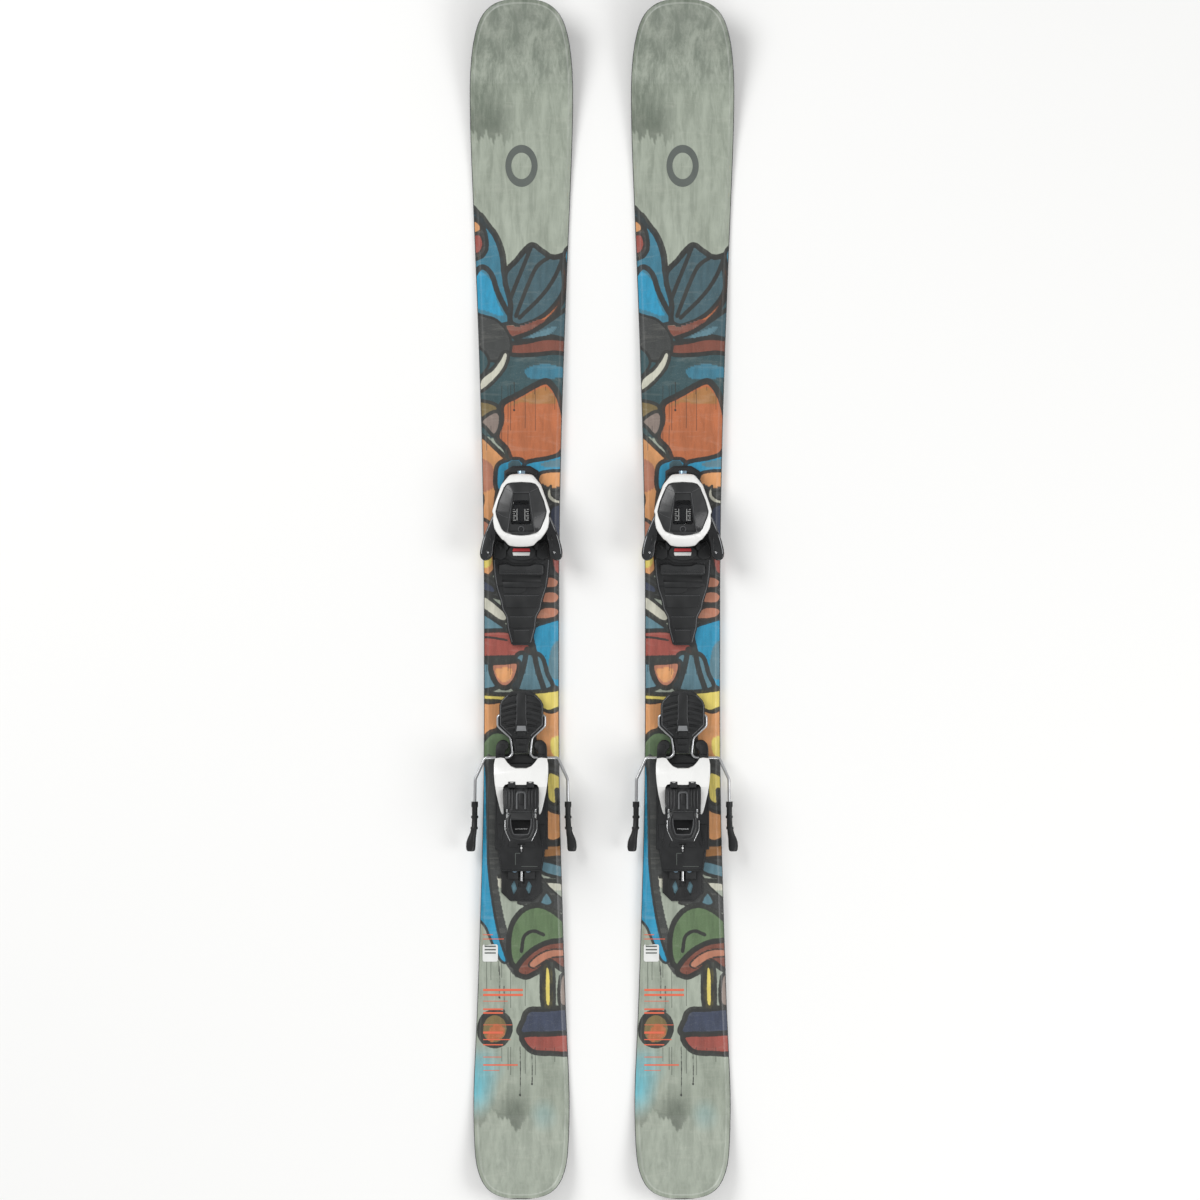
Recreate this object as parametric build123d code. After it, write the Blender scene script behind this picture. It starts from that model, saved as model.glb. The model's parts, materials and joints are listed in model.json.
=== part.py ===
from build123d import *
import math
import os

os.makedirs("parts", exist_ok=True)

# A pair of junior twin-tip alpine skis with step-in bindings. Millimetres, +Z up, +Y towards
# the tips. The origin is on the ground, midway between the two skis and at half their length.

# ---- The ski -------------------------------------------------------------------------------
SKI_LENGTH = 1300.0
SKI_SPACING = 175.0          # centre line to centre line
TIP_CONTACT_Y = 440.0        # where the base starts to rise towards the tip
TIP_RISE = 52.0
TAIL_CONTACT_Y = -500.0
TAIL_RISE = 28.0
BASE_THICKNESS = 1.4
EDGE_WIDTH = 2.2
EDGE_HEIGHT = 2.0
CAP_WALL = 3.0               # side wall of the cap, over the core
CAP_TOP_WALL = 1.4
SKI_TOP = 12.0               # height of the flat top where the binding is mounted
BEVEL_DOWN = 2.6             # the cap's sloping shoulder
BEVEL_IN = 4.6

# Half widths along the ski, from the nose to the tail: (Y, half width).
PLANFORM = [
    (649.2, 13.0), (645.2, 28.0), (634.5, 41.0), (615.0, 49.6), (585.0, 54.6), (532.0, 56.0), (440.0, 53.0),
    (347.0, 49.2), (195.0, 43.9), (65.0, 41.3), (-75.0, 40.8), (-218.0, 41.6), (-348.0, 45.0),
    (-478.0, 49.7), (-543.0, 52.2), (-590.0, 51.2), (-622.0, 46.6), (-640.0, 36.0), (-648.0, 20.0),
]
# Thickness along the ski: (Y, thickness). It is constant under the binding.
THICKNESS = [
    (654.0, 4.6), (560.0, 5.6), (440.0, 6.8), (300.0, 9.4), (170.0, 12.0),
    (-345.0, 12.0), (-430.0, 9.6), (-520.0, 7.2), (-600.0, 5.8), (-654.0, 4.8),
]

# ---- Toe piece (heights from here on are above the ski's top) -------------------------------
TOE_OUTLINE = [
    (9.5, 145.0), (18.7, 139.5), (18.7, 131.0), (25.0, 117.0), (30.4, 97.0), (30.6, 60.0),
    (31.4, 43.0), (29.9, 25.5), (27.4, 11.4), (22.8, -2.7), (21.7, -10.0), (16.8, -19.0),
    (15.8, -31.0), (11.2, -48.0), (9.0, -49.6),
]
HOUSING_OUTLINE = [
    (0.0, 136.3), (7.0, 136.2), (11.0, 135.4), (17.6, 130.5), (21.4, 124.0), (24.9, 116.0),
    (28.6, 105.0), (31.2, 95.7), (30.1, 93.6), (30.6, 85.5), (29.4, 78.0), (26.4, 72.4),
    (20.3, 64.6), (18.4, 63.6), (12.9, 58.2), (7.0, 57.2), (0.0, 57.0),
]
COVER_OUTLINE = [
    (0.0, 126.8), (10.5, 126.5), (16.2, 125.0), (21.2, 117.5), (25.7, 107.0), (27.4, 94.5),
    (25.8, 86.0), (23.6, 78.0), (20.3, 74.0), (14.0, 71.4), (7.0, 70.1), (0.0, 69.7),
]
WING_PIVOT = (21.0, 88.0)
WING_OUTLINE = [
    (17.0, 93.0), (26.0, 94.6), (31.0, 91.5), (36.5, 79.0), (41.5, 66.0), (44.2, 55.0),
    (44.9, 49.5), (44.0, 44.8), (40.5, 42.0), (35.5, 42.6), (32.0, 46.0), (30.4, 52.0),
    (30.0, 60.0), (27.0, 69.0), (23.5, 78.0), (16.6, 84.0),
]
WING_LOW = 16.0
WING_HUB_TOP = 30.0
WING_TIP_TOP = 35.0
WING_TIP_Y = 68.0            # the wing is taller from here to its end
PIN_RADIUS = 2.5
FIT = 0.05                   # radial running clearance
HOUSING_LOW = 10.0
HOUSING_EAVE = 35.0
HOUSING_TOP = 46.0
SKIRT_Y = 99.0               # the housing reaches down to the plate in front of this
SHELL = 2.4
TOE_SCREW_HEIGHT = 24.0
AFD_TOP = 15.0               # anti-friction plate that the boot's toe rests on

# ---- Heel piece ----------------------------------------------------------------------------
TRACK_FRONT = -193.4         # clear of the brake's base when the heel piece is furthest back
TRACK_OUTLINE = [(21.9, TRACK_FRONT), (21.9, -318.0), (12.2, -327.4)]
TRACK_PLATE = 2.0
RAIL_NECK = 11.0
RAIL_HEAD = 14.5
RAIL_REAR = -303.0
RAIL_UNDER = 3.6
RAIL_TOP = 5.6
CARRIAGE_OUTLINE = [
    (28.8, -178.0), (28.8, -271.0), (25.5, -271.6), (25.2, -277.0), (22.3, -295.0),
]
CARRIAGE_TOP = 9.0
SLIDE_GAP = 0.3
LENGTH_SCREW_HEIGHT = 4.3
WORM_RADIUS = 2.8
WORM_REAR = -285.5
WORM_FRONT = -262.5
JAW_PIVOT = (-222.0, 30.0)   # (Y, height) of the axle that jaw and lever share
AXLE_RADIUS = 3.0
JAW_OUTLINE = [
    (0.0, -182.4), (6.0, -182.4), (11.0, -180.2), (15.0, -176.0), (18.2, -171.4), (22.0, -170.8),
    (28.0, -171.6), (29.2, -178.0), (29.2, -188.0), (28.4, -198.0), (26.6, -210.0),
    (23.4, -224.0), (21.9, -230.0), (20.6, -232.5), (19.2, -232.5), (19.2, -203.0),
    (17.4, -200.0), (14.0, -199.0), (6.4, -199.0), (5.6, -200.0), (0.0, -200.0),
]
JAW_PROFILE = [
    (-170.0, 44.0), (-170.0, 56.0), (-176.0, 61.0), (-188.0, 65.5), (-202.0, 65.0),
    (-216.0, 52.0), (-229.0, 38.0), (-232.5, 30.0), (-229.0, 22.6), (-222.0, 20.0),
    (-210.0, 14.0), (-186.0, 12.0), (-181.0, 20.0), (-179.5, 44.0),
]
LEVER_OUTLINE = [
    (16.4, -200.8), (18.7, -203.4), (18.7, -226.0), (12.5, -226.6), (12.5, -234.5),
    (16.7, -236.4), (16.7, -249.0), (10.9, -261.0),
]
LEVER_HOLE = [(10.8, -237.7), (10.2, -244.0), (7.6, -252.5)]
LEVER_PROFILE = [
    (-200.8, 48.0), (-200.8, 60.0), (-206.0, 64.0), (-222.0, 68.0), (-240.0, 72.5),
    (-261.5, 77.0), (-261.5, 70.5), (-246.0, 64.0), (-232.0, 55.0), (-228.0, 48.5), (-222.0, 45.5),
    (-212.0, 45.5),
]
HEEL_SPRING_HEIGHT = 32.0

# ---- Brake ---------------------------------------------------------------------------------
BRAKE_AXLE = (-171.6, 9.0)   # (Y, height)
WIRE_RADIUS = 1.65
WIRE_ROUTE = [
    (17.0, -121.5), (25.4, -127.0), (25.4, -137.0), (11.6, -150.0), (9.2, -171.6),
    (39.6, -171.6), (50.2, -195.0), (50.8, -240.0),
]
WIRE_BENDS = [2.4, 5.0, 6.0, 6.0, 4.5, 8.0]
PEDAL_OUTLINE = [
    (10.7, -99.4), (16.0, -103.4), (21.6, -109.4), (23.9, -114.5), (23.9, -136.5), (10.9, -149.3),
    (9.4, -151.0), (7.2, -162.5), (7.2, -166.5),
]
TIP_OUTLINE = [
    (46.9, -219.0), (54.5, -219.0), (54.7, -226.0), (53.8, -228.0), (53.8, -235.0), (54.6, -236.0),
    (54.6, -238.0), (53.8, -239.0), (54.0, -246.5), (55.0, -247.5), (56.0, -251.0), (58.8, -256.0),
    (60.2, -262.0), (60.3, -271.5), (57.5, -273.6), (51.0, -271.8), (50.0, -270.0), (48.6, -256.0),
    (48.0, -251.0), (47.2, -249.0), (47.2, -247.5), (48.0, -246.5), (47.8, -239.0), (47.0, -238.0),
    (47.0, -236.0), (47.8, -235.0), (47.8, -228.0), (46.8, -226.0),
]

# Where the screws go into the ski: (X, Y, height of the underside of the head).
TOE_SCREWS = [(20.5, 33.0, 7.0), (14.5, 110.0, 7.0)]
HEEL_SCREWS = [(7.3, -198.2, 3.2), (7.3, -293.0, 3.2)]
SCREW_RADIUS = 2.6
SCREW_HEAD_RADIUS = 3.3
SCREW_HEAD = 2.2
SCREW_DEPTH = 9.0            # into the ski


# ---- Helpers -------------------------------------------------------------------------------
def half_face(points):
    """Face of a symmetric outline, from its right-hand half."""
    left = [(-x, y) for x, y in reversed(points) if x > 0]
    return make_face(Polyline(*points, *left, close=True))


def both_sides(part):
    """The part and its mirror image across the centre line."""
    return part + mirror(part, about=Plane.YZ)


def prism(face, low, high):
    """A face in the XY plane, raised from one height to another."""
    return Pos(0, 0, low) * extrude(face, amount=high - low, dir=(0, 0, 1))


def frustum(points, low, high, inset):
    """A symmetric outline that gets smaller towards its top; its points are a right-hand half."""
    bottom = half_face(points)
    top = offset(bottom, amount=-inset, kind=Kind.INTERSECTION)
    return loft([(Pos(0, 0, low) * bottom).face(), (Pos(0, 0, high) * top).face()], ruled=True)


def block(x_low, x_high, y_low, y_high, z_low, z_high):
    """A box between two corners."""
    size = (x_high - x_low, y_high - y_low, z_high - z_low)
    centre = ((x_low + x_high) / 2, (y_low + y_high) / 2, (z_low + z_high) / 2)
    return Pos(*centre) * Box(*size)


def bar(radius, y_low, y_high, height, x=0.0):
    """A round bar along Y."""
    place = Pos(x, (y_low + y_high) / 2, height) * Rot(90, 0, 0)
    return place * Cylinder(radius, y_high - y_low)


def crossbar(radius, x_low, x_high, y, height):
    """A round bar along X."""
    return Pos((x_low + x_high) / 2, y, height) * Rot(0, 90, 0) * Cylinder(radius, x_high - x_low)


def post(radius, x, y, low, high):
    """A round bar along Z."""
    return Pos(x, y, (low + high) / 2) * Cylinder(radius, high - low)


def side_profile(points, half_width):
    """A (Y, height) outline, extruded across the centre line."""
    face = make_face(Plane.YZ.offset(-half_width) * Polyline(*points, close=True))
    return extrude(face, amount=2 * half_width, dir=(1, 0, 0))


def coil(radius, wire, y_low, y_high, height, turns):
    """A compression spring along Y."""
    length = y_high - y_low - 2 * wire
    path = Helix(pitch=length / turns, height=length, radius=radius)
    spring = sweep(Plane(path @ 0, z_dir=path % 0) * Circle(wire), path=path)
    return Pos(0, y_low + wire, height) * Rot(-90, 0, 0) * spring


# ---- The ski's layers ----------------------------------------------------------------------
def ski_planform(inset=0.0):
    """The ski seen from above, made smaller all round by an inset."""
    half = SKI_LENGTH / 2
    stations = [(half, 0.0), *PLANFORM, (-half, 0.0)]
    edge = [(0.0, half - inset)]
    for (y0, w0), (y, w), (y1, w1) in zip(stations, stations[1:], stations[2:]):
        along = math.hypot(y0 - y1, w0 - w1)
        edge.append((w - inset * (y0 - y1) / along, y + inset * (w0 - w1) / along))
    edge.append((0.0, -half + inset))
    left = [(-x, y) for x, y in reversed(edge[1:-1])]
    return make_face(Spline(*edge, *left, periodic=True))


def base_height(y):
    """Height of the running surface: flat on the snow, then an arc up to each end."""
    for contact, rise in ((TIP_CONTACT_Y, TIP_RISE), (TAIL_CONTACT_Y, TAIL_RISE)):
        run = SKI_LENGTH / 2 - abs(contact)
        radius = (run**2 + rise**2) / (2 * rise)
        past = (y - contact) * math.copysign(1, contact)
        if past > 0:
            return radius - math.sqrt(radius**2 - past**2)
    return 0.0


def underside(lift):
    """Edges along the bottom of a layer that lies a given height above the running surface."""
    overrun = 4.0
    edges = [Line((TAIL_CONTACT_Y, lift), (TIP_CONTACT_Y, lift))]
    for contact, rise in ((TIP_CONTACT_Y, TIP_RISE), (TAIL_CONTACT_Y, TAIL_RISE)):
        run = SKI_LENGTH / 2 - abs(contact)
        radius = (run**2 + rise**2) / (2 * rise)
        side = math.copysign(1, contact)
        angle = math.degrees(math.asin((run + overrun) / radius))
        edges.append(JernArc((contact, lift), (side, 0), radius, side * angle))
    return edges


def top_line(drop):
    """The ski's upper line: flat under the binding, thinner towards both ends."""
    front = [(y, base_height(y) + t - drop) for y, t in THICKNESS if y > 0]
    rear = [(y, base_height(y) + t - drop) for y, t in THICKNESS if y < 0]
    tip = Spline(*front, (front[-1][0] - 1, front[-1][1]), tangents=[(-1, -0.5), (-1, 0)])
    tail = Spline((rear[0][0] + 1, rear[0][1]), *rear, tangents=[(-1, 0), (-1, 0.42)])
    middle = Line(tip @ 1, tail @ 0)
    return [tip, middle, tail]


def slab(lines_below, lines_above):
    """Everything between two side-view lines, wider than the ski."""
    below = Wire(lines_below)
    above = Wire(lines_above)
    ends = [sorted([wire @ 0, wire @ 1], key=lambda p: p.X) for wire in (below, above)]
    closing = [Line(ends[0][i], ends[1][i]) for i in (0, 1)]
    side = Plane.YZ.offset(-SKI_SPACING / 2)
    face = make_face(side * (Curve() + [*lines_below, *lines_above, *closing]))
    return extrude(face, amount=SKI_SPACING, dir=(1, 0, 0))


def ski_layer(inset, below, above):
    """The part of a slab that lies inside the ski's planform."""
    return prism(ski_planform(inset), -1, TIP_RISE + SKI_TOP) & slab(below, above)


def running_base():
    return ski_layer(EDGE_WIDTH, underside(0), underside(BASE_THICKNESS))


def steel_edges():
    height = TIP_RISE + SKI_TOP
    ring = prism(ski_planform(0), -1, height) - prism(ski_planform(EDGE_WIDTH), -2, height + 1)
    return ring & slab(underside(0), underside(EDGE_HEIGHT))


def screw_holes():
    """The holes that the binding's screws cut in the ski."""
    holes = [
        post(SCREW_RADIUS, side * x, y, SKI_TOP - SCREW_DEPTH, SKI_TOP + 1)
        for x, y, _ in TOE_SCREWS + HEEL_SCREWS
        for side in (-1, 1)
    ]
    return Part() + holes


def core():
    return ski_layer(CAP_WALL, underside(BASE_THICKNESS), top_line(CAP_TOP_WALL)) - screw_holes()


def cap_topsheet():
    """The shell over the core, with a sloping shoulder all round its top."""
    outer = ski_layer(0, underside(EDGE_HEIGHT), top_line(0))
    top_faces = outer.faces().filter_by(lambda face: face.normal_at().Z > 0.5)
    rim = top_faces.edges().filter_by(lambda edge: edge.length > SKI_SPACING)
    outer = chamfer(rim, length=BEVEL_DOWN, length2=BEVEL_IN)
    inner = ski_layer(CAP_WALL, underside(BASE_THICKNESS), top_line(CAP_TOP_WALL))
    return outer - inner - screw_holes()


def mounting_screws():
    """All the screws that hold the toe piece and the heel track to the ski."""
    screws = []
    for x, y, under_head in TOE_SCREWS + HEEL_SCREWS:
        for side in (-1, 1):
            shank = post(SCREW_RADIUS, side * x, y, -SCREW_DEPTH, under_head)
            head = post(SCREW_HEAD_RADIUS, side * x, y, under_head, under_head + SCREW_HEAD)
            slots = [
                Pos(side * x, y, under_head + SCREW_HEAD) * Rot(0, 0, turn) * Box(4.4, 1.0, 2.4)
                for turn in (0, 90)
            ]
            screws.append(shank + head - slots)
    return Compound(screws)


def screw_seats(screws, clear_above):
    """What a plate loses to its screws: the shank's hole and a recess for the head."""
    return Part() + [
        post(SCREW_RADIUS, side * x, y, -1, under_head)
        + post(SCREW_HEAD_RADIUS, side * x, y, under_head, clear_above)
        for x, y, under_head in screws
        for side in (-1, 1)
    ]


# ---- Toe piece -----------------------------------------------------------------------------
def toe_baseplate():
    """Plate, stepped tongue and the inner block that holds the spring and the wings' pins."""
    outline = half_face(TOE_OUTLINE)
    inner = offset(outline, amount=-2.2, kind=Kind.INTERSECTION)
    plate = prism(outline, 0, 4.5)
    # The plate steps down towards the end of its tongue: (rear, front, height).
    for rear, front, top in ((-60, -30, 6.2), (-30, -8, 7.2), (-8, 15, 8.2), (15, 150, 10.0)):
        plate += prism(inner, 4.5, top) & block(-40, 40, rear, front, 0, 20)
    plate += block(-20, 20, 13.5, 19.0, 8.0, 11.4)
    slot = block(-21, 21, 19.5, 25.4, 7.0, 12.0)
    guide = block(-17.5, 17.5, 27.8, 34.2, 7.4, 12.0)
    badge = prism(Pos(0, 51) * Ellipse(15.0, 8.4), 9.0, 13.2)
    tower = block(-12.5, 12.5, 75.0, 124.0, 9.0, HOUSING_EAVE)
    shelf = block(-26.0, 26.0, 80.0, 97.0, WING_HUB_TOP + 0.6, HOUSING_EAVE)
    bosses = both_sides(post(5.2, *WING_PIVOT, 9.0, WING_LOW - 0.3))
    pins = both_sides(post(PIN_RADIUS, *WING_PIVOT, 6.0, HOUSING_EAVE + 1))
    tunnel = bar(7.9, 79.0, 120.2, TOE_SCREW_HEIGHT) + bar(2.6, 119, 125, TOE_SCREW_HEIGHT)
    stem_slot = block(-2.4, 2.4, 80.0, 98.0, TOE_SCREW_HEIGHT, HOUSING_EAVE + 1)
    solid = plate + badge + tower + shelf + bosses
    return solid - slot - guide - pins - tunnel - stem_slot - screw_seats(TOE_SCREWS, 10.5)


def toe_housing():
    """White shell: an egg-shaped roof, with a skirt down to the plate round the front."""
    outline = half_face(HOUSING_OUTLINE)
    hollow = offset(outline, amount=-SHELL, kind=Kind.INTERSECTION)
    hollow = prism(hollow, 5, HOUSING_TOP - SHELL) & block(-40, 40, 73.5, 140, 5, 60)
    roof = prism(outline, HOUSING_EAVE, 40.0) + frustum(HOUSING_OUTLINE, 40.0, HOUSING_TOP, 1.6)
    skirt = prism(outline, HOUSING_LOW, HOUSING_EAVE) & block(-40, 40, SKIRT_Y, 140, 0, 60)
    # The back slopes down to the edge that holds the boot's toe.
    back_cut = side_profile([(72.0, 47.0), (54.0, 47.0), (54.0, 37.5), (58.0, 37.5)], 40)
    opening = prism(offset(half_face(COVER_OUTLINE), amount=0.1), 40, 50)
    screw_hole = bar(4.8, 128, 140, TOE_SCREW_HEIGHT)
    return roof + skirt - hollow - back_cut - opening - screw_hole


def cover_recess(low, high, grow=0.0):
    """The recess down the middle of the cover, wider towards the back."""
    corners = [(7.0 + grow, 114.5 + grow), (13.2 + grow, 72.0 - grow)]
    return prism(half_face(corners), low, high)


def cover_opening(low, high, shrink=0.0):
    """The window's opening in the cover."""
    corners = [(8.4 - shrink, 107.5 - shrink), (11.4 - shrink, 81.0 + shrink)]
    return prism(half_face(corners), low, high)


def toe_cover():
    """Black domed lid in the housing's opening."""
    outline = half_face(COVER_OUTLINE)
    lid = prism(outline, 43.7, 46.4) + frustum(COVER_OUTLINE, 46.4, 50.0, 4.0)
    cavity = prism(offset(outline, amount=-2.6, kind=Kind.INTERSECTION), 43.0, 46.6)
    screw_recess = post(3.3, 0, 76.0, 47.4, 52)
    return lid - cavity - cover_recess(49.0, 52) - cover_opening(43, 52) - screw_recess


def toe_window():
    return cover_opening(46.9, 48.4)


def toe_indicator():
    """Nut on the adjusting screw, with a stem that carries the release scale to the window."""
    nut = bar(7.0, 86.0, 91.0, TOE_SCREW_HEIGHT)
    stem = block(-2.0, 2.0, 86.0, 91.0, TOE_SCREW_HEIGHT + 5, 42.5)
    scale = block(-8.2, 8.2, 84.5, 102.5, 42.5, 45.0)
    return nut + stem + scale - bar(PIN_RADIUS + FIT, 80, 99, TOE_SCREW_HEIGHT)


def toe_spring():
    return coil(5.6, 1.3, 91.2, 120.0, TOE_SCREW_HEIGHT, 6)


def toe_adjust_screw():
    """Long screw through the spring; its head is turned from the front."""
    shank = bar(PIN_RADIUS, 81.0, 131.5, TOE_SCREW_HEIGHT)
    head = bar(4.25, 131.5, 139.6, TOE_SCREW_HEIGHT)
    slots = [
        Pos(0, 139.6, TOE_SCREW_HEIGHT) * Rot(0, turn, 0) * Box(5.2, 3.0, 1.1) for turn in (0, 90)
    ]
    return shank + head - slots


def toe_wing():
    """Right-hand wing: a hub on the pin and an arm round the side of the boot's toe."""
    plan = make_face(Polyline(*WING_OUTLINE, close=True))
    arm = prism(plan, WING_LOW, WING_HUB_TOP) + post(6.4, *WING_PIVOT, WING_LOW, WING_HUB_TOP)
    tip = prism(plan, WING_LOW, WING_TIP_TOP) & block(20, 50, 30, WING_TIP_Y, 0, 60)
    bore = post(PIN_RADIUS + FIT, *WING_PIVOT, WING_LOW - 1, WING_HUB_TOP + 1)
    rivet = post(1.0, 35.9, 50.9, WING_TIP_TOP - 2, WING_TIP_TOP + 1)
    return arm + tip - bore - rivet


def toe_wing_left():
    return mirror(toe_wing(), about=Plane.YZ)


def toe_wing_right():
    return toe_wing()


def toe_wing_pins():
    return both_sides(post(PIN_RADIUS, *WING_PIVOT, 6.0, HOUSING_EAVE))


def afd_slider():
    """The anti-friction plate: it slides sideways in its guide with the boot's toe."""
    plate = block(-24, 24, 25.8, 39.0, 10.3, AFD_TOP)
    plate = chamfer(plate.edges().group_by(Axis.Z)[-1], length=1.0)
    notch = post(9.0, 0, 45.5, 9, 16)
    tongue = block(-8.0, 8.0, 28.1, 33.9, 7.7, 10.3)
    return plate - notch + tongue


# ---- Heel piece ----------------------------------------------------------------------------
def heel_track():
    """Plate screwed to the ski, with a T-shaped rail and a rack for the length screw."""
    plate = prism(half_face(TRACK_OUTLINE), 0, TRACK_PLATE)
    rail = block(-RAIL_NECK, RAIL_NECK, RAIL_REAR, TRACK_FRONT, 0, RAIL_UNDER)
    rail += block(-RAIL_HEAD, RAIL_HEAD, RAIL_REAR, TRACK_FRONT, RAIL_UNDER, RAIL_TOP)
    groove = block(-3.4, 3.4, -312.0, -240.0, 1.3, 6)
    kite = make_face(Polyline((7.8, -304.6), (11.2, -311), (8.6, -321), (4.8, -314), close=True))
    kites = both_sides(prism(kite, -1, 4))
    teeth = [block(-3.4, 3.4, y, y + 1.4, 0.7, 1.4) for y in range(-308, -256, 4)]
    return plate + rail - groove - kites - teeth - screw_seats(HEEL_SCREWS, 6)


def heel_carriage():
    """The heel piece's base: it grips the rail and carries everything else of the heel."""
    body = prism(half_face(CARRIAGE_OUTLINE), TRACK_PLATE + SLIDE_GAP, CARRIAGE_TOP)
    body = chamfer(body.edges().group_by(Axis.Z)[-1], length=1.2)
    skirt = both_sides(block(22.3, 28.8, -271.0, -178.0, 0.5, TRACK_PLATE + SLIDE_GAP))
    neck = RAIL_NECK + SLIDE_GAP
    head = RAIL_HEAD + SLIDE_GAP
    channel = block(-neck, neck, -300, -170, 0, RAIL_UNDER)
    channel += block(-head, head, -300, -170, RAIL_UNDER - SLIDE_GAP, RAIL_TOP + SLIDE_GAP)
    bearings = block(-3.1, 3.1, -262, -257, 1.6, 6) + block(-3.1, 3.1, -291, -286, 1.6, 6)
    bearings -= bar(1.6 + FIT, -292, -256, LENGTH_SCREW_HEIGHT)
    sight = block(-1.8, 1.8, -274.0, -266.5, 5, 10)
    well = block(-10, 10, -266.0, -262.0, CARRIAGE_TOP - 0.8, 10)
    worm_room = bar(WORM_RADIUS + SLIDE_GAP, WORM_REAR - 0.5, WORM_FRONT + 0.5, LENGTH_SCREW_HEIGHT)
    marks = block(-6.7, -6.2, -287.0, -275.0, CARRIAGE_TOP - 0.5, 10)
    marks += block(0, 20, -289.8, -289.3, CARRIAGE_TOP - 0.5, 10)
    return body + skirt - channel - worm_room + bearings - sight - well - marks


def length_screw():
    """Worm in the carriage that runs along the track's rack."""
    worm = bar(WORM_RADIUS, WORM_REAR, WORM_FRONT, LENGTH_SCREW_HEIGHT)
    grooves = [
        bar(3.2, y, y + 0.9, LENGTH_SCREW_HEIGHT) - bar(2.1, y, y + 0.9, LENGTH_SCREW_HEIGHT)
        for y in range(-284, -264, 2)
    ]
    shank = bar(1.6, -305.5, -256.0, LENGTH_SCREW_HEIGHT)
    slot = block(-2, 2, -306, -304.3, LENGTH_SCREW_HEIGHT - 0.4, LENGTH_SCREW_HEIGHT + 0.4)
    return worm - grooves + shank - slot


def heel_bracket():
    """Folded steel bracket on the carriage; its ears hold the axle."""
    pivot_y, pivot_z = JAW_PIVOT
    floor = half_face([(16.4, -212.0), (16.4, -251.0), (10.9, -260.6)])
    bracket = prism(floor, CARRIAGE_TOP, CARRIAGE_TOP + 1.8)
    sides = block(-16.4, 16.4, -240, -212, 9, 60) - block(-14.6, 14.6, -240, -212, 9, 60)
    ear_outline = [(-239.0, 9.0), (-239.0, 24.0), (-232.0, 30.0), (-212.0, 30.0), (-212.0, 9.0)]
    ear = side_profile(ear_outline, 20) + crossbar(10.0, -20, 20, pivot_y, pivot_z)
    return bracket + (sides & ear) - crossbar(AXLE_RADIUS, -30, 30, pivot_y, pivot_z)


def heel_axle_pins():
    """Two stub pins that the jaw and the lever turn on."""
    return both_sides(crossbar(AXLE_RADIUS, 10.0, 23.6, *JAW_PIVOT))


def heel_shell():
    """The white jaw that holds the boot's heel down: a hood with two legs on the axle."""
    solid = prism(half_face(JAW_OUTLINE), 5, 70) & side_profile(JAW_PROFILE, 40)
    cavity = block(-16.4, 16.4, -205, -185.6, 5, 61.5)
    return solid - cavity - crossbar(AXLE_RADIUS + FIT, -30, 30, *JAW_PIVOT)


def heel_lever():
    """The release lever: it closes the hood's rear and ends in a loop for the pole's tip."""
    solid = prism(half_face(LEVER_OUTLINE), 5, 90) & side_profile(LEVER_PROFILE, 40)
    pivot_y, pivot_z = JAW_PIVOT
    cheek = side_profile([(-230.0, 30.0), (-214.0, 30.0), (-212.0, 50.0), (-229.0, 50.0)], 12.4)
    cheek += crossbar(8.0, -12.4, 12.4, pivot_y, pivot_z)
    cheek -= block(-10.0, 10.0, -240, -200, 10, 60)
    ribs = both_sides(block(6.2, 7.4, -225, -203, 60, 70)) + block(-2.2, 2.2, -221, -204, 60, 70)
    above = [(y, z + 0.9) for y, z in LEVER_PROFILE[1:4]]
    channel = ribs & side_profile([*above, (-224, 50), (-202, 50)], 30)
    hole = prism(half_face(LEVER_HOLE), 40, 90)
    return solid + cheek + channel - hole - crossbar(AXLE_RADIUS + FIT, -30, 30, pivot_y, pivot_z)


def heel_spring():
    return coil(6.4, 1.5, -231.4, -190.0, HEEL_SPRING_HEIGHT, 7)


def heel_indicator():
    """Nut behind the heel spring; it shows the release setting through the lever's loop."""
    nut = bar(8.4, -235.4, -231.4, HEEL_SPRING_HEIGHT)
    flag = block(-5.0, 5.0, -235.4, -231.4, HEEL_SPRING_HEIGHT + 6, HEEL_SPRING_HEIGHT + 10)
    return nut + flag - bar(PIN_RADIUS + FIT, -240, -230, HEEL_SPRING_HEIGHT)


def heel_adjust_screw():
    """Screw through the heel spring, turned from behind."""
    shank = bar(PIN_RADIUS, -240.5, -186.2, HEEL_SPRING_HEIGHT)
    head = bar(4.4, -246.0, -240.5, HEEL_SPRING_HEIGHT)
    slot = Pos(0, -246.0, HEEL_SPRING_HEIGHT) * Box(6.4, 3.0, 1.3)
    return shank + head - slot


# ---- Brake ---------------------------------------------------------------------------------
def brake_wire(radius=WIRE_RADIUS):
    """Right-hand brake wire, bent in one plane: pedal, axle, and arm beside the ski."""
    height = BRAKE_AXLE[1]
    points = [(x, y, height) for x, y in WIRE_ROUTE]
    route = FilletPolyline(*points, radius=WIRE_BENDS)
    return sweep(Plane(route @ 0, z_dir=route % 0) * Circle(radius), path=route)


def brake_wires():
    return Compound([brake_wire(), mirror(brake_wire(), about=Plane.YZ)])


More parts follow.
